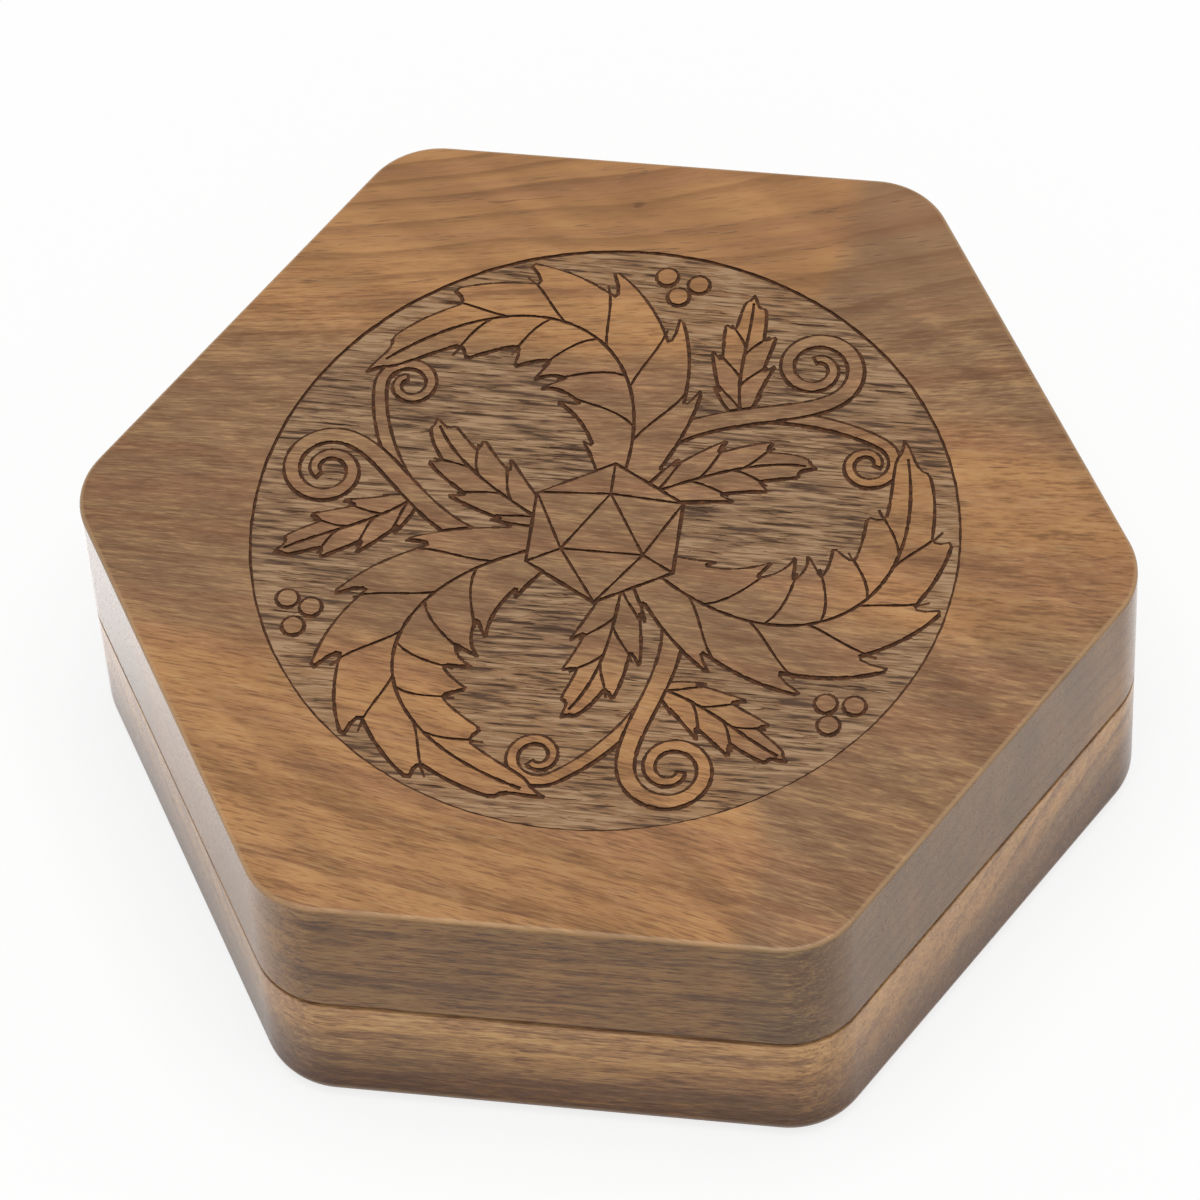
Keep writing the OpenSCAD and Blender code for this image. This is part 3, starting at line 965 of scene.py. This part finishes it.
def twenty_sided_die(radius):
    """The outline of a die seen on one face, and its edges"""
    rim = [on_circle(radius, 90 + 60 * k) for k in range(SIDES)]
    face = [on_circle(0.56 * radius, 90 + 120 * k) for k in range(3)]
    edges = [face + face[:1]]
    for k, corner in enumerate(face):
        edges.extend([corner, rim[(2 * k + j) % SIDES]] for j in (-1, 0, 1))
    return rim, edges


def ornament():
    """Motifs from the top layer down, each an outline and the lines inside it: a die in a whorl of leaves"""
    motifs = [twenty_sided_die(8.6)]

    def three_times(outline, lines=()):
        for turn in (0, 120, 240):
            motifs.append((turned(outline, turn), [turned(line, turn) for line in lines]))

    three_times(*lobed_leaf(bezier((3, -2), (18, -17), (36, -9), (28.5, 15.5), 40), 8.6, 7))
    three_times(*lobed_leaf(bezier((3.5, 5), (9, 8), (15, 11), (20.5, 10), 24), 3.9, 4))
    long_tendril = bezier((1, 4), (2, 17), (16, 15), (21, 18.6), 30)
    three_times(ribbon(curl(long_tendril, 1.5, 4.5, 1.0, 1, 60), 2.3, 0.9))
    three_times(*lobed_leaf(bezier((12, 15.6), (10.5, 21), (12, 26), (11.5, 31.5), 24), 3.4, 4))
    short_tendril = bezier((12, 15.6), (17, 16.8), (23, 15.6), (26.5, 13.8), 20)
    three_times(ribbon(curl(short_tendril, 1.25, 3.0, 0.9, -1, 40), 1.6, 0.8))
    for radius, degrees in ((32.6, 80), (32.9, 86), (30.6, 83)):
        x, y = on_circle(radius, degrees)
        berry = [on_circle(1.15, 22.5 * k) for k in range(16)]
        three_times([(x + dx, y + dy) for dx, dy in berry])
    return motifs


def anticlockwise(polygon):
    """The same outline, turned round if it runs clockwise"""
    area = sum(a[0] * b[1] - b[0] * a[1] for a, b in zip(polygon, polygon[1:] + polygon[:1]))
    return polygon if area > 0 else polygon[::-1]


def resampled(path, step):
    """A path cut into pieces no longer than a step"""
    points = [path[0]]
    for a, b in zip(path, path[1:]):
        pieces = max(1, round(math.dist(a, b) / step))
        points.extend((a[0] + (b[0] - a[0]) * k / pieces, a[1] + (b[1] - a[1]) * k / pieces)
            for k in range(1, pieces + 1))
    return points


def burnt_pieces(path, width, rng, rough=0.22, overlap=0.35):
    """Short overlapping pieces along a path, each a little wider or narrower"""
    pieces = []
    for a, b in zip(path, path[1:]):
        length = math.dist(a, b)
        if length < 1e-4:
            continue
        ux, uy = (b[0] - a[0]) / length, (b[1] - a[1]) / length
        half = width / 2 * (1 + rough * rng.uniform(-1, 1))
        end = overlap * width
        pieces.append([(p[0] + s * ux * end - t * uy * half, p[1] + s * uy * end + t * ux * half)
            for p, s, t in ((a, -1, -1), (b, 1, -1), (b, 1, 1), (a, -1, 1))])
    return pieces


SURFACE, GROUND, LINE, RIDGE, FURROW = range(5)
RING_POINTS = 300
LINE_STEP = 0.7  # longest piece of a burnt line, in millimetres


def engraving_plan(engraving, outline):
    """Triangles over the lid's top face, each with its kind of surface, in millimetres"""
    rng = random.Random(engraving.seed)
    ring = engraving.ring_share * BOX_R / MM
    ring_half = engraving.ring_width / MM / 2
    line = engraving.line_width / MM
    points, polygons, marks = [], [], []

    def draw(polygon, mark):
        start = len(points)
        points.extend(Vector(p) for p in anticlockwise(polygon))
        polygons.append(list(range(start, len(points))))
        marks.append(mark)

    draw([(p.x / MM, p.y / MM) for p in outline], ("field", 0))
    for mark, sign in (("ring", 1), ("inside", -1)):
        draw([on_circle(ring + sign * ring_half * rng.uniform(0.7, 1.35), 360 / RING_POINTS * k)
            for k in range(RING_POINTS)], (mark, 0))
    for k, (motif, lines) in enumerate(ornament()):
        draw(motif, ("motif", k))
        for path in [motif + motif[:1]] + lines:
            width = line if path[0] == motif[0] else 0.8 * line
            for piece in burnt_pieces(resampled(path, LINE_STEP), width, rng):
                draw(piece, ("line", k))
    for k in range(engraving.streak_count):
        radius, angle = (ring - 1) * math.sqrt(rng.random()), rng.uniform(0, 360)
        x, y = on_circle(radius, angle)
        length, half = rng.uniform(0.8, 3.2), rng.uniform(0.08, 0.19)
        lift = rng.uniform(-0.15, 0.15)
        draw([(x - length, y - lift), (x - 0.4 * length, y - half), (x + 0.5 * length, y - half * 0.8),
            (x + length, y + lift), (x + 0.4 * length, y + half), (x - 0.5 * length, y + half * 0.8)],
            (rng.choice((RIDGE, FURROW)), k))

    cells = delaunay_2d_cdt(points, [], polygons, 0, 1e-4)
    places, triangles, origins = cells[0], cells[2], cells[5]
    depth = {mark: k for k, mark in enumerate(("motif", "line"))}

    def kind(owners):
        owned = [marks[k] for k in owners]
        names = {name for name, k in owned}
        if "inside" not in names:
            return LINE if "ring" in names else SURFACE
        layered = [(k, -depth[name]) for name, k in owned if name in depth]
        if layered:
            return LINE if min(layered)[1] == -1 else SURFACE
        return next((name for name, k in owned if name in (RIDGE, FURROW)), GROUND)

    kinds = [kind(owners) for owners in origins]
    inside = [k for k, owners in enumerate(origins) if any(marks[i][0] == "field" for i in owners)]
    return places, [triangles[k] for k in inside], [kinds[k] for k in inside]


def engrave(obj, engraving, outline):
    """Swaps the flat top face of the lid for the engraved one, with upright walls between the levels"""
    places, triangles, kinds = engraving_plan(engraving, outline)
    level = {SURFACE: 0.0, GROUND: -engraving.ground_depth, LINE: -engraving.line_depth,
        RIDGE: -engraving.ground_depth + engraving.streak_depth,
        FURROW: -engraving.ground_depth - engraving.streak_depth}
    slot = {SURFACE: 0, GROUND: 1, RIDGE: 1, FURROW: 1, LINE: 2}
    mesh = bmesh.new()
    mesh.from_mesh(obj.data)
    top = max((f for f in mesh.faces if f.normal.z > 0.99), key=lambda f: f.calc_center_median().z)
    rim = list(top.verts)
    mesh.faces.remove(top)
    corners, heights = {}, {}

    def corner(point, height):
        key = (point, height)
        if key not in corners:
            spot = places[point]
            corners[key] = mesh.verts.new((spot.x * MM, spot.y * MM, TOP_Z + height))
            heights.setdefault(point, set()).add(height)
        return corners[key]

    sides = {}
    for triangle, kind in zip(triangles, kinds):
        face = mesh.faces.new([corner(p, level[kind]) for p in triangle])
        face.material_index = slot[kind]
        for k, p in enumerate(triangle):
            sides[(p, triangle[(k + 1) % 3])] = kind
    for (a, b), kind in sides.items():
        other = sides.get((b, a))
        if other is None or level[other] >= level[kind]:
            continue
        low, high = level[other], level[kind]
        down = sorted((h for h in heights[a] if low <= h <= high), reverse=True)
        up = sorted(h for h in heights[b] if low <= h <= high)
        wall = mesh.faces.new([corners[(a, h)] for h in down] + [corners[(b, h)] for h in up])
        wall.material_index = max(slot[kind], slot[other])
    edge_of_top = [v for (p, h), v in corners.items()
        if h == 0.0 and any(e.is_boundary for e in v.link_edges)]
    bmesh.ops.remove_doubles(mesh, verts=rim + edge_of_top, dist=0.002 * MM)
    mesh.to_mesh(obj.data)
    mesh.free()
    return obj


class DICEBOX_OT_lid(bpy.types.Operator):
    """Mills the upper half: a block with a rolling tray, hinge mortises, magnet holes and an engraved top"""
    bl_idname = "dicebox.lid"
    bl_label = "Lid"

    def execute(self, context):
        sizes, hardware = context.scene.dice_box, context.scene.dice_hardware
        obj = block("lid_block", sizes.top_ease, sizes.seam_ease, material("walnut_lid"))
        circum = (LINER_HALF_Y + sizes.pocket_fit) / APOTHEM
        cut(obj, *pocket_cutter(circum, sizes.tray_radius, 0.0, TOP_Z - TRAY_CEILING_Z, sizes.mouth_ease))
        cut_rim(obj, hardware)
        turn_over(obj)
        obj.data.materials.append(material("ground"))
        obj.data.materials.append(material("burnt"))
        engrave(obj, context.scene.dice_engraving, rounded_hexagon(BOX_R, CORNER_R, -sizes.top_ease))
        place(shade(obj), "lid", "walnut_lid", "lid_body")
        return {"FINISHED"}


def turn_over(obj):
    """Mirrors a lower half about the seam, with its faces still outwards"""
    obj.data.transform(Matrix.Translation((0, 0, 2 * SEAM_Z)) @ Matrix.Scale(-1, 4, (0, 0, 1)))
    obj.data.flip_normals()
    return obj


# Hinges, screws and magnets

def leaf_plate(x, hardware):
    """A flat leaf with rounded inner corners and softened upper edges, open side towards the barrel"""
    edge = hardware.edge
    low_z, high_z = LEAF_FACE_Z - hardware.leaf_thickness, LEAF_FACE_Z
    rings = []
    for inset, z in ((0.0, low_z), (0.0, high_z - edge), (0.3 * edge, high_z - 0.3 * edge), (edge, high_z)):
        rings.append(at_height(leaf_outline(x, HINGE_LEN / 2 - inset, LEAF_INNER_Y + inset, BACK_Y - inset,
            hardware.leaf_radius - 0.5 * inset), z))
    return skin(rings)


def knuckle(length, hardware):
    """One knuckle from x = 0, rolled round the pin, with the tongue that joins it to its leaf"""
    edge, pin_play, hold = hardware.edge, 0.05 * MM, 0.3 * MM
    outer = [(PIN_R + pin_play, 0.0), (KNUCKLE_R - edge, 0.0), (KNUCKLE_R - 0.3 * edge, 0.3 * edge),
        (KNUCKLE_R, edge)]
    outer += [(r, length - x) for r, x in outer[::-1]]
    barrel = lathe(outer + outer[:1], 40, (0, AXIS_Y, SEAM_Z), "X")
    low_z, high_z = LEAF_FACE_Z - hardware.leaf_thickness, LEAF_FACE_Z
    section = [(BACK_Y - hold, low_z + HAIR), (AXIS_Y - 0.55 * KNUCKLE_R, low_z + HAIR),
        (AXIS_Y - 0.62 * KNUCKLE_R, high_z), (BACK_Y - hold, high_z - HAIR)]
    tongue = skin([[Vector((x, y, z)) for y, z in section] for x in (HAIR, length - HAIR)])
    return join_meshes([barrel, tongue])


def countersinks(x, hardware):
    """The holes of a leaf's two screws"""
    play, head_h, deep = 0.09 * MM, SCREW_HEAD_R - hardware.screw_shank, 2 * MM
    shank, head = hardware.screw_shank + play, SCREW_HEAD_R + play
    profile = [(0, LEAF_FACE_Z - deep), (shank, LEAF_FACE_Z - deep), (shank, LEAF_FACE_Z - head_h),
        (head, LEAF_FACE_Z), (head, LEAF_FACE_Z + CLEAR), (0, LEAF_FACE_Z + CLEAR)]
    return join_meshes([lathe(profile, 40, (x + s * SCREW_HALF_PITCH, SCREW_Y, 0)) for s in (-1, 1)])


def fix_normals(obj):
    """Closes the seams of a piece and turns its faces outwards"""
    mesh = bmesh.new()
    mesh.from_mesh(obj.data)
    bmesh.ops.remove_doubles(mesh, verts=mesh.verts, dist=0.001 * MM)
    bmesh.ops.recalc_face_normals(mesh, faces=mesh.faces)
    mesh.to_mesh(obj.data)
    mesh.free()
    return obj


def joined(first, second):
    """Adds the second object's mesh to the first and removes the second"""
    mesh = bmesh.new()
    mesh.from_mesh(first.data)
    mesh.from_mesh(second.data)
    mesh.to_mesh(first.data)
    mesh.free()
    bpy.data.objects.remove(second)
    return first


class DICEBOX_OT_hinges(bpy.types.Operator):
    """Makes the four hinge leaves with their knuckles, and finishes the two pins"""
    bl_idname = "dicebox.hinges"
    bl_label = "Hinges"

    def execute(self, context):
        hardware = context.scene.dice_hardware
        count, gap = hardware.knuckle_count, hardware.knuckle_gap
        length = (HINGE_LEN - (count - 1) * gap) / count
        tree = row_tree()
        for body, first in (("base", 0), ("lid", 1)):
            for side, sign in SIDE_SIGNS.items():
                x = sign * HINGE_X
                name = f"leaf_{body}_{side}"
                plate = mesh_object(name, *leaf_plate(x, hardware), [material("brass")])
                cut(fix_normals(plate), *countersinks(x, hardware))
                row = mesh_object(name + "_knuckles", *knuckle(length, hardware), [material("brass")])
                fix_normals(row)
                run_tree(row, tree, {"Count": len(range(first, count, 2)), "Step": 2 * (length + gap),
                    "Material": material("brass")})
                row.data.transform(Matrix.Translation((x - HINGE_LEN / 2 + first * (length + gap), 0, 0)))
                joined(plate, row)
                if body == "lid":
                    turn_over(plate)
                place(shade(plate), body, "brass", f"hinge_leaf_{body}_{side}")
        for side in SIDE_SIGNS:
            dress(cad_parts[f"hinge_pin_{side}"], material("brass"))
        return {"FINISHED"}


def dress(node, surface):
    """Gives a construction node its material"""
    node.data.materials.clear()
    node.data.materials.append(surface)
    return node


def screw(hardware):
    """A slotted countersunk screw with its face at z = 0"""
    edge, head_r, shank = 0.08 * MM, SCREW_HEAD_R, hardware.screw_shank
    head_h, length = head_r - shank, screw_high.z - screw_low.z
    profile = [(0, -length), (shank, -length + 2 * shank), (shank, -head_h), (head_r, -edge),
        (head_r - 0.3 * edge, -0.3 * edge), (head_r - edge, 0), (0, 0)]
    obj = mesh_object("screw", *lathe(profile, 40), [material("brass")])
    half, deep = hardware.slot_width / 2, 0.55 * head_h
    slot = rectangle(2 * head_r, half)
    cut(fix_normals(obj), *skin([at_height(slot, -deep), at_height(slot, CLEAR)]))
    return obj


def on_spots(name, piece, spots, z, seed, body, slot, nodes):
    """Copies of one piece on every spot of a body, each turned by up to half a turn, as one mesh"""
    obj = mesh_object(name, [Vector((x, y, z)) for x, y in spots], [], [material(slot)])
    run_tree(obj, spots_tree(), {"Piece": piece, "Most turn": math.pi, "Seed": seed,
        "Material": material(slot)})
    if body == "lid":
        turn_over(obj)
    return place(shade(obj), body, slot, *nodes)


class DICEBOX_OT_screws(bpy.types.Operator):
    """Sets two slotted screws in every leaf"""
    bl_idname = "dicebox.screws"
    bl_label = "Screws"

    def execute(self, context):
        piece = screw(context.scene.dice_hardware)
        for body, seed in (("base", 3), ("lid", 8)):
            on_spots(f"screws_{body}", piece, screw_spots(), LEAF_FACE_Z, seed, body, "brass",
                [f"hinge_screws_{body}_{side}" for side in SIDE_SIGNS])
        bpy.data.objects.remove(piece)
        return {"FINISHED"}


class DICEBOX_OT_magnets(bpy.types.Operator):
    """Sets a disc magnet in each front corner of both rims"""
    bl_idname = "dicebox.magnets"
    bl_label = "Magnets"

    def execute(self, context):
        radius, thick, edge = MAGNET_R, magnet_high.z - magnet_low.z, 2 * context.scene.dice_hardware.edge
        soft = 0.3 * edge
        profile = [(0, -thick), (radius - edge, -thick), (radius - soft, -thick + soft),
            (radius, -thick + edge), (radius, -edge), (radius - soft, -soft), (radius - edge, 0), (0, 0)]
        piece = fix_normals(mesh_object("magnet", *lathe(profile, 64), [material("nickel")]))
        for body, seed in (("base", 1), ("lid", 2)):
            on_spots(f"magnets_{body}", piece, magnet_spots(), magnet_high.z, seed, body, "nickel",
                [f"magnet_{body}_{side}" for side in SIDE_SIGNS])
        bpy.data.objects.remove(piece)
        return {"FINISHED"}


# Felt

def felt_slab(name, circum, radius, turn, low_z, high_z, centre, ring_step):
    """A cut piece of felt with soft edges and a slightly uneven face"""
    soft = 0.35 * MM
    levels = [(0.0, low_z)] + [(-inset, high_z - z) for inset, z in quarter(soft, 5)[::-1]]
    rings = [at_height(rounded_hexagon(circum, radius, grow, turn), z) for grow, z in levels]
    edge = rings[-1]
    count = int((circum * APOTHEM - soft) / ring_step)
    for k in range(1, count):
        shrink = 1 - k / count
        rings.append([Vector((p.x * shrink, p.y * shrink, high_z)) for p in edge])
    verts, faces = skin(rings)
    uneven = 0.06 * MM
    flat = len(rings[0]) * len(levels)
    for k, v in enumerate(verts):
        v.x += centre[0]
        v.y += centre[1]
        if k >= flat:
            v.z -= uneven * (0.5 + 0.5 * noise.noise(v * 900))
    return mesh_object(name, verts, faces, [material("felt")])


class DICEBOX_OT_felt(bpy.types.Operator):
    """Lays felt in the seven pockets and in the lid's tray"""
    bl_idname = "dicebox.felt"
    bl_label = "Felt"

    def execute(self, context):
        sizes = context.scene.dice_box
        pad_r = sizes.pocket_radius - sizes.pocket_fit
        step = 2 * math.pi / SIDES
        spots = {"centre": (0.0, 0.0)}
        for k, name in enumerate(POCKET_NAMES):
            spots[name] = (POCKET_PITCH * math.cos(step * k), POCKET_PITCH * math.sin(step * k))
        for name, spot in spots.items():
            pad = felt_slab(f"pad_{name}", PAD_HALF_X / APOTHEM, pad_r, math.pi / SIDES, pad_low.z,
                pad_high.z, spot, 1.0 * MM)
            place(shade(pad), "base", "felt", f"pocket_pad_{name}")
        liner = felt_slab("liner", LINER_HALF_Y / APOTHEM, sizes.tray_radius - sizes.pocket_fit, 0.0,
            2 * SEAM_Z - liner_high.z, 2 * SEAM_Z - liner_low.z, (0.0, 0.0), 1.5 * MM)
        turn_over(liner)
        place(shade(liner), "lid", "felt", "lid_liner")
        return {"FINISHED"}


# Stage

FLOOR_HALF = 3.0
FLOOR_SINK = 0.02 * MM
FLOOR_SHARE = 0.8  # how much of what the camera sees of the floor is plain white, without shadow
LAMP_SPOT = (0.06, -0.12, 1.3)
LAMP_SIZE = 0.9
ROUND_TO_SQUARE = 0.82  # takes off the light that a square lamp's corners add to that of a round one
WHITE = (1.0, 1.0, 1.0, 1.0)


def seen_and_mirrored(tree):
    """Whether a ray comes straight from the camera, and whether it is a reflection"""
    path = add(tree, "ShaderNodeLightPath").outputs
    return larger(path["Is Camera Ray"], path["Is Transmission Ray"]), path["Is Glossy Ray"]


def white_floor():
    """A pale floor that the camera sees nearly white, with some of the object's shadow. Bounces are dimmer,
    and reflections brighter towards the left."""
    material, tree, place_mm = new_material("floor")
    seen, glossy = seen_and_mirrored(tree)
    mirrored = times(glossy, span(parts_of(place_mm)["X"], -68.0, -38.0, 1.85, 1.1))
    brightness = larger(times(seen, 0.97), larger(mirrored, 0.62))
    grey = add(tree, "ShaderNodeCombineColor", {k: brightness for k in range(3)}).outputs[0]
    cloth = add(tree, "ShaderNodeBsdfDiffuse", {"Color": grey})
    white = add(tree, "ShaderNodeEmission", {"Color": WHITE, "Strength": 1.0})
    shown = add(tree, "ShaderNodeMixShader",
        {0: times(seen, FLOOR_SHARE), 1: cloth.outputs[0], 2: white.outputs[0]})
    add(tree, "ShaderNodeOutputMaterial", {"Surface": shown.outputs[0]})
    return material


def soft_sky(strength):
    """Even light all round, seen as white by the camera, and paler than it is in reflections"""
    world = bpy.data.worlds.new("studio")
    world.use_nodes = True
    tree = world.node_tree
    tree.nodes.clear()
    seen, glossy = seen_and_mirrored(tree)
    level = larger(larger(seen, times(glossy, 0.6)), strength)
    background = add(tree, "ShaderNodeBackground", {"Color": WHITE, "Strength": level})
    add(tree, "ShaderNodeOutputWorld", {"Surface": background.outputs[0]})
    return world


def area_lamp(name, spot, target, size, share):
    """A square lamp that lights a face turned towards it, in the target, by that share of full light"""
    light = bpy.data.lights.new(name, "AREA")
    light.shape = "SQUARE"
    light.size = size
    away = Vector(target) - Vector(spot)
    half_angle = math.atan(size / 2 / away.length)
    light.energy = share * math.pi * size ** 2 / math.sin(half_angle) ** 2 * ROUND_TO_SQUARE
    obj = bpy.data.objects.new(name, light)
    obj.location = spot
    obj.rotation_euler = away.to_track_quat("-Z", "Y").to_euler()
    bpy.context.scene.collection.objects.link(obj)
    return obj


def camera_place(stage):
    """The camera's place and turn, from its angles round the middle of the lid"""
    az, el, roll = stage.azimuth, stage.elevation, stage.roll
    back = Vector((math.sin(az) * math.cos(el), -math.cos(az) * math.cos(el), math.sin(el)))
    right = Vector((0, 0, 1)).cross(back).normalized()
    up = back.cross(right)
    rolled_right = math.cos(roll) * right + math.sin(roll) * up
    rolled_up = math.cos(roll) * up - math.sin(roll) * right
    spot = Vector((0, 0, TOP_Z)) + back * stage.distance
    spot = spot + rolled_right * stage.slide_x + rolled_up * stage.slide_y
    turn = Matrix((rolled_right, rolled_up, back)).transposed()
    return Matrix.Translation(spot) @ turn.to_4x4()


class DICEBOX_OT_stage(bpy.types.Operator):
    """Sets up the floor, the soft light and the camera"""
    bl_idname = "dicebox.stage"
    bl_label = "Stage"

    def execute(self, context):
        scene, stage = context.scene, context.scene.dice_stage
        corners = at_height(rectangle(FLOOR_HALF, FLOOR_HALF), -FLOOR_SINK)
        floor = mesh_object("floor", corners, [[0, 1, 2, 3]], [white_floor()])
        scene.world = soft_sky(stage.sky)
        area_lamp("overhead", LAMP_SPOT, (0, 0, 0), LAMP_SIZE, stage.key)
        data = bpy.data.cameras.new("camera")
        data.lens = stage.lens
        data.sensor_width = 36.0
        data.clip_start = 0.01
        camera = bpy.data.objects.new("camera", data)
        camera.matrix_world = camera_place(stage)
        scene.collection.objects.link(camera)
        scene.camera = camera
        scene.view_settings.view_transform = "Standard"
        return {"FINISHED"}


OPERATORS = (DICEBOX_OT_stage, DICEBOX_OT_base, DICEBOX_OT_lid, DICEBOX_OT_hinges, DICEBOX_OT_screws,
    DICEBOX_OT_magnets, DICEBOX_OT_felt)


class DICEBOX_PT_panel(bpy.types.Panel):
    """Lists the sizes and the pieces of the dice box"""
    bl_idname = "DICEBOX_PT_panel"
    bl_label = "Dice Box"
    bl_space_type = "VIEW_3D"
    bl_region_type = "UI"
    bl_category = "Dice Box"

    def draw(self, context):
        for name, group_class in SETTINGS.items():
            box = self.layout.box()
            box.label(text=group_class.__doc__)
            settings = getattr(context.scene, name)
            for key in group_class.__annotations__:
                box.prop(settings, key)
        column = self.layout.column()
        for operator in OPERATORS:
            column.operator(operator.bl_idname)


CLASSES = (*SETTINGS.values(), *OPERATORS, DICEBOX_PT_panel)


def register():
    for cls in CLASSES:
        bpy.utils.register_class(cls)
    for name, group_class in SETTINGS.items():
        setattr(bpy.types.Scene, name, PointerProperty(type=group_class))


def unregister():
    for name in SETTINGS:
        delattr(bpy.types.Scene, name)
    for cls in reversed(CLASSES):
        bpy.utils.unregister_class(cls)


def main():
    register()
    for operator in OPERATORS:
        category, name = operator.bl_idname.split(".")
        if getattr(getattr(bpy.ops, category), name)() != {"FINISHED"}:
            raise RuntimeError(f"{operator.bl_label} wasn't finished")


if __name__ == "__main__":
    main()
